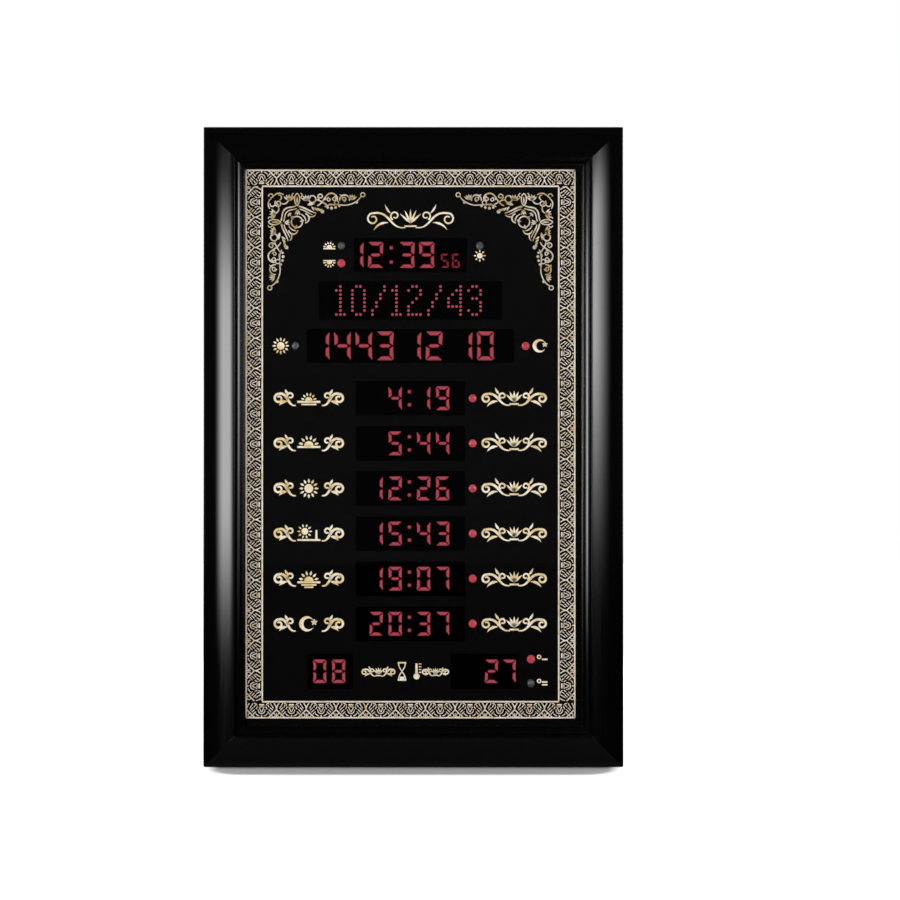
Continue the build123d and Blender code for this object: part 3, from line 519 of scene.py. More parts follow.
def dot(bm, x, z, radius, sides=10):
    turn = Matrix.Translation((x, -ink_depth, z)) @ facing
    bmesh.ops.create_circle(bm, cap_ends=True, segments=sides, radius=radius, matrix=turn)


def rule(bm, width, height, x, z):
    """A plain bar of ink."""
    stroke(bm, [(x - width / 2, z), (x + width / 2, z)], (height, height))


def leaf(bm, x, z, length, width, angle, bend=0.0):
    """A pointed leaf from its stalk, bent sideways by a share of its length."""
    along = Vector((cos(radians(angle)), sin(radians(angle)))) * length
    aside = Vector((-along.y, along.x)) * bend
    start = Vector((x, z))
    points = bent(start, start + along * 0.33 + aside, start + along * 0.66 + aside,
                  start + along, 6)
    stroke(bm, points, (0.25 * width, width, 0.75 * width, 0.05))


def fresh_verts(bm, before):
    """The vertices that weren't there before."""
    return [vert for vert in bm.verts if vert not in before]


def settle(bm, before, scale, x, z, turn=0):
    """Scale, turn and move what was drawn since a moment."""
    fresh = fresh_verts(bm, before)
    bmesh.ops.scale(bm, vec=scale, verts=fresh)
    bmesh.ops.rotate(bm, matrix=Matrix.Rotation(radians(-turn), 3, "Y"), verts=fresh)
    bmesh.ops.translate(bm, vec=(x, 0, z), verts=fresh)


def copy_of(bm, verts):
    """Copy strokes, and give the copy's vertices."""
    edges, faces = linked(verts)
    return verts_in(bmesh.ops.duplicate(bm, geom=list(verts) + edges + faces)["geom"])


def half_cell(bm):
    """Half of one repeat of the band, to the right of its middle, with z outwards positive."""
    stroke(bm, [(7.5, 7.5), (15.65, 0.0)], (1.2, 1.2))
    stroke(bm, spiral(12.5, 5.5, 1.8, 1.8, 0, 360), (0.77, 0.77))
    stroke(bm, [(0.2, 2.4), (2.7, -3.0)], (0.77, 0.84))
    for steps, widths, *line in (
            (4, (0.7, 0.92, 1.2), (15.2, -1.6), (14.9, -4.0), (14.0, -5.4), (12.9, -6.4)),
            (6, (0.84, 0.92, 0.63), (0, 3.9), (2.0, 3.9), (3.6, 2.4), (3.6, -0.4)),
            (4, (0.56, 0.92, 0.63), (2.4, 6.2), (3.6, 6.0), (5.0, 5.2), (6.3, 3.8)),
            (4, (0.63, 0.92, 0.7), (4.6, -4.2), (5.2, -5.6), (6.4, -6.6), (8.0, -6.4))):
        stroke(bm, bent(*line, steps), widths)
    for x, z in ((8.9, 4.6), (10.2, 2.5), (11.8, 0.6)):
        stroke(bm, [(x, z), (x - 2.9, z - 2.7)], (0.92, 0.7))
    for x, z in ((5.8, -0.6), (7.9, -2.4), (12.4, -1.2), (10.6, -3.9)):
        stroke(bm, [(x, z), (x - 1.5, z - 2.5)], (0.77, 0.92))


def whole_cell():
    """One repeat of the band as a mesh, mirrored about its middle."""
    bm = bmesh.new()
    half_cell(bm)
    bmesh.ops.scale(bm, vec=(-1, 1, 1), verts=copy_of(bm, bm.verts))
    rule(bm, 5.2, 1.5, 0, -4.9)
    rule(bm, 3.2, 0.8, 0, -2.9)
    for x, top, bottom, widths in ((0, 7.4, 5.2, (1.83, 0.56)), (15.65, 0.8, -4.0, (0.92, 1.41)),
                                   (15.65, 7.2, 3.4, (1.55, 0.63))):
        stroke(bm, [(x, top), (x, bottom)], widths)
    return mesh_from("band_repeat", bm, ())


def band_run(bm, cell, count, pitch, start, turn, mirror):
    """Lay repeats in a row from a start point, turned about the depth axis."""
    along = Vector((cos(radians(turn)), sin(radians(turn))))
    for index in range(count):
        before = set(bm.verts)
        bm.from_mesh(cell)
        place = Vector(start) + along * (pitch * (index + 0.5))
        settle(bm, before, (pitch / cell_width, 1, mirror), place.x, place.y, turn)


half_width, half_height, band_width, cell_width = 164.7, 274.0, 17.4, 31.3
outer_line, inner_line = 1.4, 1.5
cell = whole_cell()
bm = bmesh.new()
for line, inset, reach_x, reach_z in (
        (outer_line, outer_line / 2, half_width, half_height),
        (inner_line, band_width - inner_line / 2, half_width - band_width + inner_line / 2,
         half_height - band_width)):
    for side in (-1, 1):
        rule(bm, 2 * reach_x, line, 0, side * (half_height - inset))
        x = side * (half_width - inset)
        stroke(bm, [(x, -reach_z), (x, reach_z)], (line, line))
run_start, middle = half_width - 1.2, band_width / 2
across = 2 * run_start / 11
upright = 2 * (half_height - band_width) / 17
for side in (-1, 1):
    band_run(bm, cell, 11, across, (-run_start, side * (half_height - middle)), 0, side)
    band_run(bm, cell, 17, upright, (side * (half_width - middle), band_width - half_height),
             90, -side)
thicken(bm, ink_height)
put("gold_border", on_print(bm), (cream_ink,))


def fan(bm, x, z, angles, length, width):
    """A fan of leaflets from one stalk."""
    for angle in angles:
        leaf(bm, x, z, length, width, angle)


def spandrel_arm(bm):
    """One arm of a spandrel, x along the arm and z down into the panel, corner at nought."""
    for steps, widths, *line in (
            (7, (0.8, 1.4, 0.9), (6.2, -4.4), (9.0, -0.6), (13.0, -0.4), (16.6, -2.6)),
            (6, (1.1, 1.2, 0.8), (12.6, -8.0), (15.4, -6.2), (15.0, -2.8), (11.4, -3.0)),
            (6, (0.9, 1.3, 1.0), (14.6, -11.4), (17.0, -12.6), (20.0, -11.4), (21.5, -8.2)),
            (7, (1.5, 1.4, 1.2), (17.4, -17.4), (20.4, -14.6), (24.0, -15.6), (28.6, -13.9)),
            (7, (1.2, 1.2, 0.9), (19.8, -19.8), (22.6, -17.2), (25.6, -18.0), (29.6, -16.4)),
            (9, (1.5, 1.6, 1.3, 0.8), (31.6, -14.4), (37.0, -14.6), (42.6, -19.6), (49.0, -21.0)),
            (8, (1.1, 1.2, 0.6), (32.6, -17.0), (36.6, -17.4), (40.4, -20.8), (45.4, -22.8)),
            (8, (1.2, 1.5, 1.0), (38.2, -21.4), (43.2, -23.0), (43.4, -29.8), (38.0, -30.8)),
            (6, (0.9, 1.3, 0.8), (33.4, -21.8), (37.2, -23.4), (38.8, -26.4), (38.6, -29.2)),
            (5, (1.1, 1.3, 0.6), (41.6, -24.4), (45.0, -25.2), (47.4, -24.2), (48.4, -22.6)),
            (6, (1.0, 1.4, 0.9), (49.0, -8.0), (52.0, -7.2), (55.6, -10.6), (59.8, -12.6)),
            (6, (1.0, 1.4, 1.1), (50.0, -13.6), (53.4, -12.6), (56.4, -8.4), (58.4, -4.4)),
            (8, (0.9, 1.3, 1.0), (57.6, -14.6), (64.0, -10.8), (71.0, -13.4), (80.0, -13.0)),
            (7, (1.0, 1.3, 0.9), (80.0, -13.0), (85.0, -12.0), (91.0, -9.6), (93.6, -4.4))):
        stroke(bm, bent(*line, steps), widths)
    for side in (-1, 1):
        stroke(bm, bent((30, -1.2), (30 + 3.6 * side, -3.6), (30 + 3.2 * side, -10.4),
                        (30, -13.8), 8), (1.0, 1.3, 1.1))
        stroke(bm, bent((30 + 3.0 * side, -5.6), (30 + 6.0 * side, -4.0), (30 + 5.6 * side, -1.4),
                        (30 + 3.4 * side, -1.2), 5), (0.9, 1.1, 0.7))
    for widths, *coil in (
            ((1.2, 1.3, 1.2), 45.2, -7.0, 3.5, 3.5, 100, 360),
            ((1.2, 1.2, 0.9), 53.4, -4.4, 3.1, 1.0, 250, -420),
            ((1.2, 1.5, 1.2), 64.2, -7.2, 6.1, 6.1, 186, -192),
            ((1.1, 0.9), 61.8, -7.4, 2.2, 0.8, 90, 400),
            ((1.1, 0.9), 66.8, -6.6, 2.4, 0.9, 90, -400),
            ((1.0, 1.0), 69.4, -10.6, 2.1, 2.1, 90, 360),
            ((1.1, 1.4, 1.1), 77.4, -7.8, 5.0, 5.0, 190, -200),
            ((1.1, 0.9), 76.6, -7.0, 2.5, 0.9, -90, 420),
            ((1.0, 1.0), 95.6, -2.7, 2.1, 2.1, 200, -360)):
        stroke(bm, spiral(*coil), widths)
    for x, z, first, last, step, length, width in (
            (21.5, -8.4, 28, 140, 28, 6.4, 2.2), (39.2, -8.6, 40, 152, 28, 6.2, 2.1),
            (30.8, -17.6, -124, -72, 26, 5.6, 2.0), (85.0, -7.6, 34, 146, 28, 5.8, 2.0)):
        fan(bm, x, z, range(first, last + 1, step), length, width)
    for step in range(4):
        leaf(bm, 44.4 + 2.7 * step, -14.6 - 0.9 * step, 4.8, 1.9, -58 + 10 * step, 0.1)
    for single in ((30, -11.6, 7.2, 1.5, 90), (40.6, -12.8, 7.4, 3.0, 8, 0.1),
                   (36.8, -27.6, 4.6, 2.2, 200, 0.2), (61.0, -13.6, 4.4, 1.7, 24, 0.15),
                   (72.6, -2.4, 4.4, 1.8, -60, 0.2)):
        leaf(bm, *single)
    for x, z, radius in ((55.2, -19.4, 1.9), (60.6, -15.4, 1.2), (64.4, -16.0, 1.5),
                         (68.4, -15.4, 1.3), (72.2, -14.0, 1.1), (89.4, -10.2, 1.4)):
        dot(bm, x, z, radius)


def spandrel():
    """A whole corner: two arms mirrored about the diagonal, and the fan between them."""
    bm = bmesh.new()
    spandrel_arm(bm)
    for vert in copy_of(bm, bm.verts):
        vert.co.x, vert.co.z = -vert.co.z, -vert.co.x
    stroke(bm, spiral(4.0, -4.0, 2.6, 1.4, 190, -300), (1.2, 1.0))
    stroke(bm, spiral(11.2, -11.2, 3.6, 1.0, 135, 520), (1.2, 1.3, 0.9))
    stroke(bm, spiral(29.8, -29.8, 5.6, 5.6, 0, 360), (1.3, 1.3))
    fan(bm, 24.4, -24.4, (-15, -45, -75), 3.6, 1.5)
    fan(bm, 21.6, -21.6, (-100, -45, 10), 3.2, 1.4)
    return mesh_from("spandrel", bm, ())


spandrel_x, spandrel_z = 143.2, 251.5
corner = spandrel()
bm = bmesh.new()
for side in (-1, 1):
    before = set(bm.verts)
    bm.from_mesh(corner)
    settle(bm, before, (-side, 1, 1), side * spandrel_x, spandrel_z)
thicken(bm, ink_height)
put("gold_spandrels", on_print(bm), (gold_ink,))


def sun(bm, x, z, radius, rays=8, risen=True):
    """A disc with rays, or its upper half alone where it is still on the horizon."""
    before = set(bm.verts)
    dot(bm, x, z, radius * 0.52, 16)
    if not risen:
        disc = fresh_verts(bm, before)
        edges, faces = linked(disc)
        bmesh.ops.bisect_plane(bm, geom=disc + edges + faces, plane_co=(x, 0, z),
                               plane_no=(0, 0, -1), clear_outer=True)
    for index in range(rays):
        angle = 360 * (index + (0 if risen else 0.5)) / rays
        turn = radians(angle)
        if risen or angle < 180:
            leaf(bm, x + cos(turn) * radius * 0.66, z + sin(turn) * radius * 0.66,
                 radius * 0.5, radius * 0.26, angle)


def crescent(bm, x, z, radius):
    stroke(bm, spiral(x, z, radius * 0.8, radius * 0.8, 35, 290),
           (0.1, radius * 0.34, radius * 0.56, radius * 0.34, 0.1))


def star(bm, x, z, radius):
    fan(bm, x, z, range(90, 450, 72), radius, radius * 0.62)


def scroll_pair(bm, x, z, near, far, height, weight):
    """Two bold scrolls, mirrored, that run outwards from beside a sign."""
    wide = far - near

    def at(out, up):
        return near + wide * out, height * up

    before = set(bm.verts)
    stroke(bm, bent(at(0, -0.5), at(0.4, -0.62), at(0.35, 0.5), at(0.8, 0.3), 10),
           (weight * 0.5, weight * 1.15, weight))
    stroke(bm, spiral(*at(0.79, -0.02), height * 0.33, height * 0.12, 85, -400),
           (weight, weight * 0.9, weight * 0.7))
    stroke(bm, spiral(*at(0.25, 0.16), height * 0.26, height * 0.1, -60, 380),
           (weight * 0.9, weight * 0.8, weight * 0.6))
    leaf(bm, *at(0.42, -0.22), wide * 0.4, weight * 1.3, -28, 0.2)
    leaf(bm, *at(0.36, 0.3), wide * 0.26, weight * 1.1, 58, -0.1)
    one = fresh_verts(bm, before)
    other = copy_of(bm, one)
    bmesh.ops.scale(bm, vec=(-1, 1, 1), verts=other)
    bmesh.ops.translate(bm, vec=(x, 0, z), verts=one + other)


def hour_sign(bm, x, z, hour):
    """A sign for one time of day: dawn, sunrise, noon, afternoon, sunset or night."""
    if hour in ("dawn", "sunrise", "sunset"):
        rule(bm, 23.0, 2.0, x, z - 3.6)
        sun(bm, x, z - 2.4, 7.0 if hour == "dawn" else 9.0, 12, risen=False)
        for line in range({"dawn": 1, "sunrise": 0, "sunset": 2}[hour]):
            rule(bm, 15.0 - 6.0 * line, 1.5, x, z - 6.2 - 2.3 * line)
    elif hour == "noon":
        sun(bm, x, z, 8.6, 12)
    elif hour == "afternoon":
        sun(bm, x - 4.0, z + 2.2, 6.6, 10)
        rule(bm, 23.0, 1.8, x, z - 6.4)
        stroke(bm, [(x + 7.6, z - 6.0), (x + 7.6, z + 3.6)], (2.6, 1.6))
    else:
        crescent(bm, x - 1.0, z, 8.2)
        star(bm, x + 5.4, z + 1.6, 3.4)


def flourish(bm, x, z, half_width, rise, weight):
    """A palmette between two scrolls, drawn with a broad pen."""
    scroll_pair(bm, x, z, rise * 0.35, half_width, rise * 1.2, weight)
    fan(bm, x, z - rise * 0.3, (42, 66, 90, 114, 138), rise * 0.95, weight * 1.2)
    rule(bm, rise * 0.8, weight * 0.8, x, z - rise * 0.5)


def hourglass(bm, x, z):
    for side in (-1, 1):
        rule(bm, 8.6, 1.5, x, z + side * 8.6)
        for edge in (-1, 1):
            stroke(bm, bent((x + edge * 3.3, z + side * 8.0), (x + edge * 3.3, z + side * 3.5),
                            (x + edge * 0.9, z + side * 2.0), (x, z)), (1.1, 0.9))
    rule(bm, 4.2, 2.6, x, z - 6.6)


def thermometer(bm, x, z):
    stroke(bm, [(x, z - 3.0), (x, z + 8.0)], (2.6, 2.0))
    dot(bm, x, z - 5.0, 3.1, 14)
    for step in range(4):
        rule(bm, 2.6, 0.9, x + 3.6, z - 1.0 + 2.8 * step)


bm = bmesh.new()
for z, turned_over in ((197.6, 1), (180.4, -1)):
    before = set(bm.verts)
    rule(bm, 12.0, 1.2, 0, -2.6)
    sun(bm, 0, -1.8, 5.6, 12, risen=False)
    settle(bm, before, (1, 1, turned_over), -81.0, z)
for z, bars in ((-215.0, 1), (-239.0, 2)):
    stroke(bm, spiral(128.4, z + 2.4, 1.7, 1.7, 0, 360), (1.1, 1.1))
    for bar in range(bars):
        rule(bm, 5.6, 1.5, 134.0, z + 1.4 * (bars - 1) - 2.8 * bar)
sun(bm, 69.2, 188.0, 5.4)
sun(bm, -129.5, date_row, 7.4, 12)
crescent(bm, 129.5, date_row, 7.2)
star(bm, 134.2, date_row + 1.4, 2.9)
for z, hour in zip(prayer_rows, ("dawn", "sunrise", "noon", "afternoon", "sunset", "night")):
    hour_sign(bm, -101.5, z, hour)
    scroll_pair(bm, -101.5, z, 13.0, 34.5, 14.4, 2.4)
    flourish(bm, 103.5, z, 34.0, 11.5, 2.2)
flourish(bm, 0, 225.0, 46.0, 15.0, 1.8)
hourglass(bm, -8.5, status_row)
thermometer(bm, 6.0, status_row)
flourish(bm, -32.0, status_row - 0.6, 17.0, 7.0, 1.5)
flourish(bm, 25.0, status_row - 0.6, 13.0, 6.4, 1.4)
thicken(bm, ink_height)
put("gold_signs", on_print(bm), (sign_ink,))

# ---------------- window filters
# A smoked polyester film behind each window. It hides the dark bars and dims the lit ones.
# Light crosses both of its faces, so the tint tells twice.
smoked, tree, shader = start_finish("smoked_polyester_film", {
    "Base Color": linear("020202"), "Roughness": 0.1, "Specular IOR Level": 0.0})
tint = add(tree, "BsdfTransparent", {"Color": (0.5, 0.28, 0.31, 1)})
pane = add(tree, "MixShader", {0: 0.8, 1: shader, 2: tint})
fill(tree, tree.nodes["Material Output"], {"Surface": pane})


def dress(finish, *nodes):
    """Give CAD nodes whose shape is right a better material."""
    for name in nodes:
        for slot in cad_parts[name].material_slots:
            slot.material = finish


dress(smoked, "window_filters")

# ---------------- digit modules
# Moulded black modules. Each digit has seven light bars of clear resin cast flush in the
# face, with a die behind each. The core attribute says how near the die a place lies: 0 at a
# bar's edge and 1 along its middle.

# ABS from a fine-textured mould: a matt black that takes hardly any light off the digits.
module_black = mottled("moulded_black_abs", {"Roughness": 0.65, "Specular IOR Level": 0.1}, 0.4,
                       {"Detail": 2.0}, ("020202", 0.0), ("060606", 1.0), bump=0.3,
                       depth=0.00005)[0]
dress(module_black, *[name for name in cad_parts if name.endswith("_display")
                      or name.startswith("prayer_display")])


def glowing(name, base, roughness, strength, edge, middle, halfway=None):
    """A resin lit from within, from its edge to its middle."""
    material, tree, shader = start_finish(name, {
        "Base Color": linear(base), "Roughness": roughness, "Emission Strength": strength})
    heat = add(tree, "ValToRGB", {
        "Fac": add(tree, "Attribute", {"attribute_name": "core"}).outputs["Fac"]})
    heat.color_ramp.elements[0].color = linear(edge)
    heat.color_ramp.elements[1].color = linear(middle)
    if halfway:
        heat.color_ramp.elements.new(0.34).color = linear(halfway)
    fill(tree, shader, {"Emission Color": heat})
    return material


# Cast epoxy, clear. Lit, it glows crimson and paler along the middle. Unlit, it is smoky black.
lit_resin = glowing("lit_red_resin", "2a0508", 0.35, 3.0, "72323d", "ecb4bc", "cb7383")
dim_resin = mottled("unlit_clear_resin", {"Roughness": 0.4, "Specular IOR Level": 0.15}, 2.5, {},
                    ("070505", 0.0), ("0c0909", 1.0))[0]

module_face, bar_rise = 24.7, 0.38
bars_of = {"0": "abcdef", "1": "bc", "2": "abged", "3": "abgcd", "4": "fgbc", "5": "afgcd",
           "6": "afgedc", "7": "abc", "8": "abcdefg", "9": "abcdfg", " ": ""}


def bar_outlines(height, width):
    """The seven bars of one digit as (x, z) corners, by their letters."""
    wide, right, top = height / 7.1, width / 2, height / 2
    gap = 0.5 / 2 ** 0.5
    upper = [(gap - right, top), (right - gap, top), (right - wide - gap, top - wide),
             (wide + gap - right, top - wide)]
    side = [(right, top - gap), (right, gap / 2), (right - wide, wide / 2 + gap),
            (right - wide, top - wide - gap)]
    middle = [(right - wide / 2 - gap, 0), (right - wide - gap, wide / 2),
              (wide + gap - right, wide / 2), (wide / 2 + gap - right, 0),
              (wide + gap - right, -wide / 2), (right - wide - gap, -wide / 2)]
    return {"a": upper, "b": side, "c": [(x, -z) for x, z in side],
            "d": [(x, -z) for x, z in upper], "e": [(-x, -z) for x, z in side],
            "f": [(-x, z) for x, z in side], "g": middle}


def light_bar(bm, outline, x, z, lit, rim, drive=1.0):
    """Cast one light bar. A lit one glows less where it is driven less."""
    core = bm.verts.layers.float.get("core") or bm.verts.layers.float.new("core")
    already = len(bm.faces)
    corners = [bm.verts.new((x + a, -module_face, z + b)) for a, b in outline]
    bm.faces.new(corners)
    bmesh.ops.bevel(bm, geom=corners, offset=rim, segments=2, profile=0.5,
                    affect="VERTICES", material=-1)
    bm.faces.ensure_lookup_table()
    made = bmesh.ops.extrude_face_region(bm, geom=[bm.faces[already]], use_keep_orig=True)["geom"]
    front = [item for item in made if isinstance(item, BMFace)]
    bmesh.ops.translate(bm, vec=(0, -bar_rise, 0), verts=verts_in(made))
    for glow, inwards in ((0.34, rim * 0.55), (1.0, rim * 0.75)):
        bmesh.ops.inset_region(bm, faces=front, thickness=inwards)
        for vert in front[0].verts:
            vert[core] = glow * drive
    bm.faces.ensure_lookup_table()
    for face in bm.faces[already:]:
        face.material_index = 0 if lit else 1


def digit(bm, shown, height, width, x, z, only="abcdefg", drive=1.0):
    """Cast one digit, lit to show a character."""
    for letter, outline in bar_outlines(height, width).items():
        if letter in only:
            light_bar(bm, outline, x, z, letter in bars_of[shown], height / 30, drive)


def number(bm, shown, height, width, pitch, x, z):
    """Cast a row of digits about its middle."""
    for index, character in enumerate(shown):
        digit(bm, character, height, width, x + pitch * (index - (len(shown) - 1) / 2), z)


def colon(bm, height, x, z):
    reach = 1.9
    square = [(-reach, -reach), (reach, -reach), (reach, reach), (-reach, reach)]
    for end in (-1, 1):
        light_bar(bm, square, x, z + end * 0.28 * height, True, reach / 2)


def cast_bars(name, bm, node):
    bmesh.ops.recalc_face_normals(bm, faces=bm.faces)
    put(name, on_print(bm), (lit_resin, dim_resin), node=node, slot="red_light_bar")


bm = bmesh.new()
colon_x, hour_height, seconds_height = -19.2, 25.4, 13.7
digit(bm, "1", hour_height, 15.0, colon_x - 35.3, time_row, only="bc")
for shown, reach in (("2", -15.6), ("3", 15.6), ("9", 35.3)):
    digit(bm, shown, hour_height, 15.0, colon_x + reach, time_row)
colon(bm, hour_height, colon_x, time_row)
for shown, x in (("5", 34.2), ("6", 45.2)):
    digit(bm, shown, seconds_height, 7.6, x, time_row + (seconds_height - hour_height) / 2,
          drive=0.3)
for shown, x in (("1443", -57.3), ("12", 12.9), ("10", 64.1)):
    number(bm, shown, 28.2, 16.5, 21.3, x, date_row)
cast_bars("time_light_bars", bm, "time_segments")

bm = bmesh.new()
for z, shown in zip(prayer_rows, (" 419", " 544", "1226", "1543", "1907", "2037")):
    for character, reach in zip(shown, (-33.2, -14.2, 14.2, 33.2)):
        digit(bm, character, 23.3, 13.2, -1.1 + reach, z)
    colon(bm, 23.3, -1.1, z)
cast_bars("prayer_light_bars", bm, "prayer_segments")

bm = bmesh.new()
for shown, x, pitch in (("08", -81.2, 18.8), (" 27", 80.9, 17.6)):
    number(bm, shown, 23.0, 13.0, pitch, x, status_row)
cast_bars("status_light_bars", bm, "status_segments")

# ---------------- dot-matrix modules
# Five square modules side by side, each with eight rows of eight round dots, 3 mm across.
# They run as one display and show a plain date.
matrix_dots = (
    "..#...##.....#..#...##.....#....#..##...",
    ".##..#..#....#.##..#..#....#...##.#..#..",
    "..#..#..#...#...#.....#...#...#.#....#..",
    "..#..#..#...#...#....#....#..#..#..##...",
    "..#..#..#..#....#...#....#...#..#....#..",
    "..#..#..#..#....#..#.....#...####....#..",
    "..#..#..#.#.....#..#....#.......#.#..#..",
    ".###..##..#....###.####.#.......#..##...")
module_side, matrix_face, dot_pitch, dot_height = 32.0, 24.6, 4.0, 0.3
bm = bmesh.new()
core = bm.verts.layers.float.new("core")
for module in range(5):
    block(bm, module_side - 0.1, module_side - 0.1, 15.0, matrix_face,
          module_side * (module - 2), matrix_row)
for face in bm.faces:
    face.material_index = 2
for line, dots in enumerate(matrix_dots):
    for column, mark in enumerate(dots):
        place = Matrix.Translation((dot_pitch * (column - 19.5), 0.05 - matrix_face,
                                    matrix_row + dot_pitch * (3.5 - line)))
        made = bmesh.ops.create_cone(bm, cap_ends=True, segments=12, radius1=1.6, radius2=1.3,
                                     depth=dot_height, matrix=place @ facing)["verts"]
        for face in linked(made)[1]:
            face.material_index = 0 if mark == "#" else 1
        for vert in made:
            vert[core] = 1.0 if vert.co.y < place.translation.y else 0.0
put("dot_matrix_modules", on_print(bm), (lit_resin, dim_resin, module_black),
    node="matrix_modules", slot="display_body")

# ---------------- indicator lamps
# Round 8 mm lamps with moulded diffusing lenses, set close behind their holes in the film. A
# lit one is an even crimson, and the others show the grey of the lens.
lit_lens = glowing("lit_red_lens", "30060a", 0.3, 1.0, "a8404b", "bb2838")
grey_lens = mottled("unlit_diffusing_lens", {"Roughness": 0.35}, 3.333, {}, ("3a3b3d", 0.0),
                    ("4a4a4b", 1.0))[0]


def turned(bm, profile, x, z):
    """Spin a line of (radius, depth) stops into a solid about a back-to-front axis."""
    before = set(bm.verts)
    verts = [bm.verts.new((radius, -depth, 0)) for radius, depth in profile]
    edges = [bm.edges.new(pair) for pair in zip(verts, verts[1:])]
    bmesh.ops.spin(bm, geom=verts + edges, cent=(0, 0, 0), axis=(0, 1, 0), angle=2 * pi,
                   steps=28, use_merge=True)
    bmesh.ops.remove_doubles(bm, verts=fresh_verts(bm, before), dist=0.001)
    made = fresh_verts(bm, before)
    bmesh.ops.recalc_face_normals(bm, faces=linked(made)[1])
    bmesh.ops.translate(bm, vec=(x, 0, z), verts=made)
    return made


lens_line = [(0, 15.0), (3.9, 15.0), (3.9, 24.4), (3.7, 24.9), (3.0, 25.25), (1.8, 25.42),
             (0, 25.48)]
bm = bmesh.new()
core = bm.verts.layers.float.new("core")
for x, z, lit in lamp_places:
    made = turned(bm, lens_line, x, z)
    for vert in made:
        vert[core] = 1 - (vert.co - Vector((x, 0, z))).xz.length / 4
    for face in linked(made)[1]:
        face.material_index = 0 if lit else 1
put("indicator_lamps", on_print(bm), (lit_lens, grey_lens), node="indicator_leds",
    slot="red_lamp")

# ---------------- boards and inner pieces
# Fibreglass boards with green solder resist, moulded epoxy chips, sleeved capacitors, a coin
# cell in its nylon holder, and flat cables. They are closed in and only show when opened.

# Resist over copper: a glossy dark green, paler in lines 11 mm apart where tracks run.
solder_resist, tree, shader = start_finish("green_solder_resist", {"Roughness": 0.3})
tracks = add(tree, "TexBrick", {
    "Vector": add(tree, "TexCoord").outputs["Object"], "Scale": 90.0, "Mortar Size": 0.06,
    "Color1": linear("0b4a22"), "Color2": linear("0d5226"), "Mortar": linear("1c7038")})
fill(tree, shader, {"Base Color": tracks})
dress(solder_resist, "time_board", "prayer_board", "status_board", "main_board")


def plain_finish(name, low, high, roughness, grain, metallic=0.0, bump=0.1):
    """A finish that varies a little from grain to grain, with a relief that goes with it."""
    return mottled(name, {"Roughness": roughness, "Metallic": metallic}, grain, {"Detail": 4.0},
                   (low, 0.35), (high, 0.65), bump=bump)[0]


for nodes, *look in (
        (("main_board_chips", "ir_receiver", "temperature_sensor"),
         "moulded_epoxy", "161618", "202023", 0.55, 0.333),
        (("board_standoffs",), "white_nylon", "cfcdc6", "dedcd4", 0.5, 1.25),
        (("battery_holder", "cable_sockets", "dc_inlet"),
         "black_nylon", "141415", "1d1d1f", 0.5, 0.667),
        (("power_capacitors",), "blue_shrink_sleeve", "10162e", "18204a", 0.3, 2.0),
        (("flat_cables",), "grey_pvc", "7a7a7d", "8a8a8d", 0.5, 1.429),
        (("internal_leads",), "black_pvc", "121212", "1c1c1c", 0.45, 1.111),
        (("coin_cell", "corner_v_nails"), "rolled_steel", "a8a8a6", "bcbcba", 0.32, 0.833, 1.0),
        (("speaker_voice_coil",), "enamelled_copper", "a8552c", "c06a3a", 0.35, 0.4, 1.0),
        (("dc_inlet_pin",), "nickel_plate", "c2beb4", "d2cfc8", 0.2, 1.111, 1.0),
        (("speaker_magnet",), "ground_ferrite", "232325", "303033", 0.5, 0.556),
        (("speaker_basket",), "black_painted_steel", "101011", "191919", 0.4, 1.111),
        (("spacer_strips",), "bare_softwood", "a98355", "c79c69", 0.75, 16.67),
        (("speaker_surround",), "black_foam", "0e0e0e", "1b1b1b", 0.9, 0.667, 0.0, 0.5),
        (("speaker_cone",), "pressed_paper", "1a1917", "262320", 0.85, 0.833, 0.0, 0.4)):
    dress(plain_finish(*look), *nodes)

# ---------------- back panel
# Bare brown hardboard with its meshed face out, slotted for the speaker and vented for the
# sensor. Wet-pressed wood fibre is matt, with clouds of colour, a fine nap and the crossed
# dents of the press's wire mesh.
hardboard, tree, shader = start_finish("wet_pressed_hardboard", {
    "Roughness": 0.8, "Specular IOR Level": 0.25})
place = add(tree, "TexCoord").outputs["Object"]
fibre_length, cloud_width, wire_pitch = 2.632, 71.43, 1.8
fibres = add(tree, "TexNoise", {"Vector": place, "Scale": 1000 / fibre_length, "Detail": 8.0,
                                "Roughness": 0.75})
clouds = add(tree, "TexNoise", {"Vector": place, "Scale": 1000 / cloud_width, "Detail": 3.0})
mixed = add(tree, "Mix", {"data_type": "FLOAT", 0: 0.12, 2: fibres, 3: clouds})
tone = add(tree, "ValToRGB", {"Fac": mixed})
for element, position, code in zip(tone.color_ramp.elements, (0.36, 0.64), ("5c3d26", "83603f")):
    element.position, element.color = position, linear(code)
# A wave's scale is 2 pi over 20 times its pitch.
warp, weft = [
    add(tree, "TexWave", {"bands_direction": way, "Vector": place, "Distortion": 0.4,
                          "Scale": 2 * pi / (20 * wire_pitch / 1000)}).outputs["Fac"]
    for way in "XZ"]
dents = add(tree, "Math", {"operation": "MULTIPLY", 0: warp, 1: weft})
relief = add(tree, "Bump", {"Strength": 0.35, "Distance": 0.0002, "Height": dents})
nap = add(tree, "Bump", {"Strength": 0.25, "Distance": 0.0001, "Height": fibres,
                         "Normal": relief})
fill(tree, shader, {"Base Color": tone, "Normal": nap})
dress(hardboard, "back_panel")

# ---------------- hanging plates, levers, feet
# Pressed steel, zinc plated: two keyhole plates let the clock hang on two wall screws, and
# four levers turn over the back panel's edge. Pan-head cross screws hold them, and four soft
# rubber feet are stuck on at the corners.

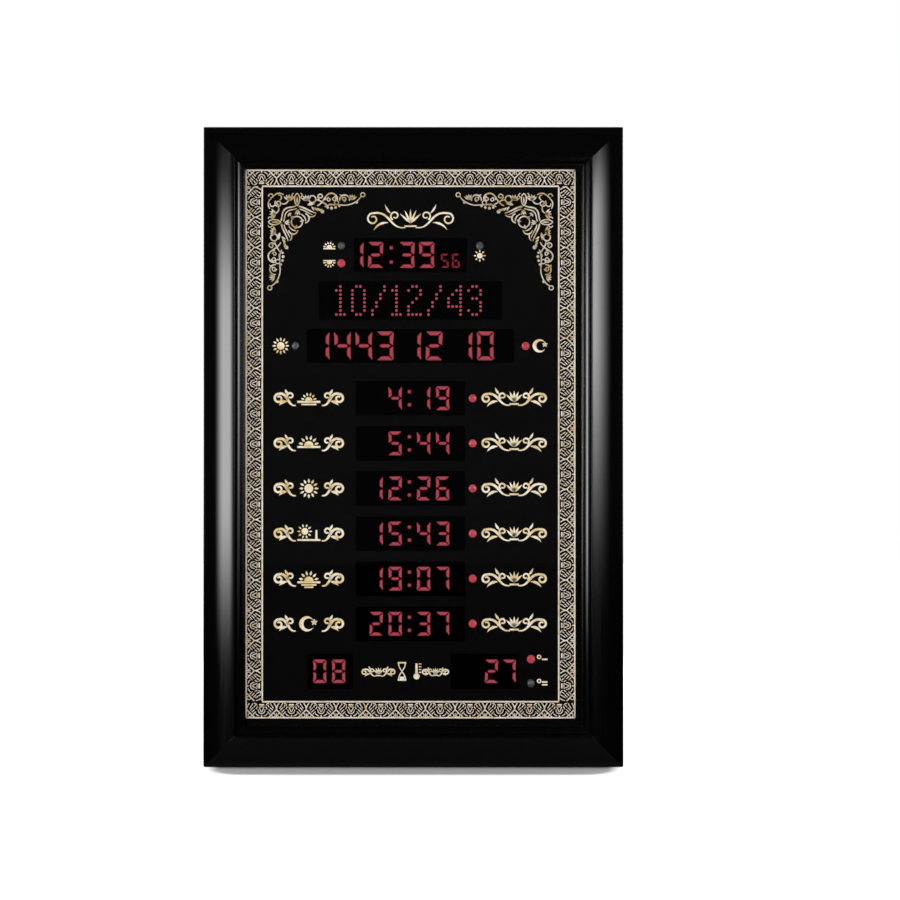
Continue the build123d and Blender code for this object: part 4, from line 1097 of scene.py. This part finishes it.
# Zinc plate, not polished: a pale bluish grey with cloudy spangles, some of them duller.
zinc, tree, shader, clouds = mottled(
    "zinc_plated_pressed_steel", {"Metallic": 0.7}, 3.846, {"Detail": 5.0},
    ("93948f", 0.35), ("bcbdb9", 0.65))
fill(tree, shader, {"Roughness": add(tree, "MapRange", {
    "Value": clouds, "From Min": 0.35, "From Max": 0.65, "To Min": 0.46, "To Max": 0.6})})
plate_width, plate_height, plate_z, plate_back, plate_thickness = 50, 23, 3.5, 1.2, 1.2
entry_radius, neck_width, drop = 4.75, 4.8, 8.0


def keyhole(bm, x, depth):
    """Draw a keyhole: a round entry at nought with a neck above it."""
    aside = neck_width / 2
    start = bm.verts.new((-aside, (entry_radius ** 2 - aside ** 2) ** 0.5, 0))
    before = set(bm.verts) - {start}
    turn = 2 * pi - 2 * asin(aside / entry_radius)
    entry = arc(bm, start, Vector((0, 0, 0)), turn, 22)
    neck_top = arc(bm, chain(bm, entry, (aside, -drop)), Vector((0, drop, 0)), pi, 10)
    bm.edges.new((neck_top, start))
    for vert in fresh_verts(bm, before):
        vert.co = Vector((vert.co.x + x, -depth, vert.co.y))


bm = bmesh.new()
for x in keyhole_places:
    rounded(bm, plate_width, plate_height, 2.0, x, plate_z, -plate_back)
    keyhole(bm, x, -plate_back)
sheet(bm, plate_thickness)
soften(bm, sharper_than(bm, 50), 0.2)
put("hanging_plates", bm, (zinc,), node="keyhole_plates", slot="zinc_plated_steel")


def cross_screws(name, places, seat, radius, rise, **given):
    """Pan-head screws on a seat behind the frame's back, each with a cross driven into it."""
    heads, crosses = bmesh.new(), bmesh.new()
    top = seat + rise
    for index, (x, z) in enumerate(places):
        turned(heads, [(0, -top), (radius * 0.5, 0.03 - top), (radius * 0.8, rise * 0.2 - top),
                       (radius * 0.96, rise * 0.5 - top), (radius, rise * 0.8 - top),
                       (radius * 0.95, -seat), (radius * 0.48, -seat), (radius * 0.48, -0.02),
                       (0, -0.02)], x, z)
        for turn in (20 + 50 * index, 110 + 50 * index):
            spin = (Matrix.Translation((x, top, z)) @ Matrix.Rotation(radians(turn), 4, "Y")
                    @ Matrix.Diagonal((radius * 1.15, rise * 1.5, radius * 0.27, 1)))
            bmesh.ops.create_cube(crosses, size=1.0, matrix=spin)
    put(name, carve(heads, crosses, (zinc,)), (zinc,), **given)


plate_screw_places = [(x + end * 18.5, plate_z) for x in keyhole_places for end in (-1, 1)]
cross_screws("plate_screws", plate_screw_places, plate_back, 3.3, 1.6)
lever_length, lever_width, lever_back, past_screw = 30, 11, 1.3, 9.5
lever_places = [(x, z) for x in (-182.0, 182.0) for z in (-130.0, -470.0)]
cross_screws("lever_screws", lever_places, 1.4, 3.6, 1.9, node="turn_button_screws",
             slot="zinc_plated_steel")
for index, (x, z) in enumerate(lever_places, 1):
    bm = bmesh.new()
    rounded(bm, lever_length, lever_width, 3.4, x + (past_screw if x < 0 else -past_screw), z,
            -lever_back)
    rounded(bm, 4.0, 4.0, 2.0, x, z, -lever_back)
    sheet(bm, plate_thickness)
    soften(bm, sharper_than(bm, 50), 0.25)
    body = "turn_button_%d" % index
    put("lever_%d" % index, bm, (zinc,), node=body, slot="zinc_plated_steel", body=body)

# Moulded soft rubber, matt and black. The edge towards the wall is rounded.
rubber = plain_finish("soft_black_rubber", "111111", "1c1c1c", 0.75, 1.111, bump=0.3)
foot_side, foot_height = 12, 4.5
bm = bmesh.new()
for x in (-196.0, 196.0):
    for z in (6.0, -606.0):
        rounded(bm, foot_side, foot_side, 1.6, x, z, 0)
sheet(bm, -foot_height)
crest = [edge for edge in sharper_than(bm, 50)
         if min(vert.co.y for vert in edge.verts) > foot_height - 0.1]
soften(bm, crest, 1.1, steps=4)
put("wall_feet", bm, (rubber,), node="wall_bumpers", slot="bumper_rubber")

# ---------------- power inlet
# A recess moulded in black ABS, with a spark-eroded surface that looks dull and even, for a
# plug that points up.
cup_black = plain_finish("spark_eroded_abs", "131314", "1d1d1e", 0.6, 0.625, bump=0.4)
dress(cup_black, "inlet_cup")
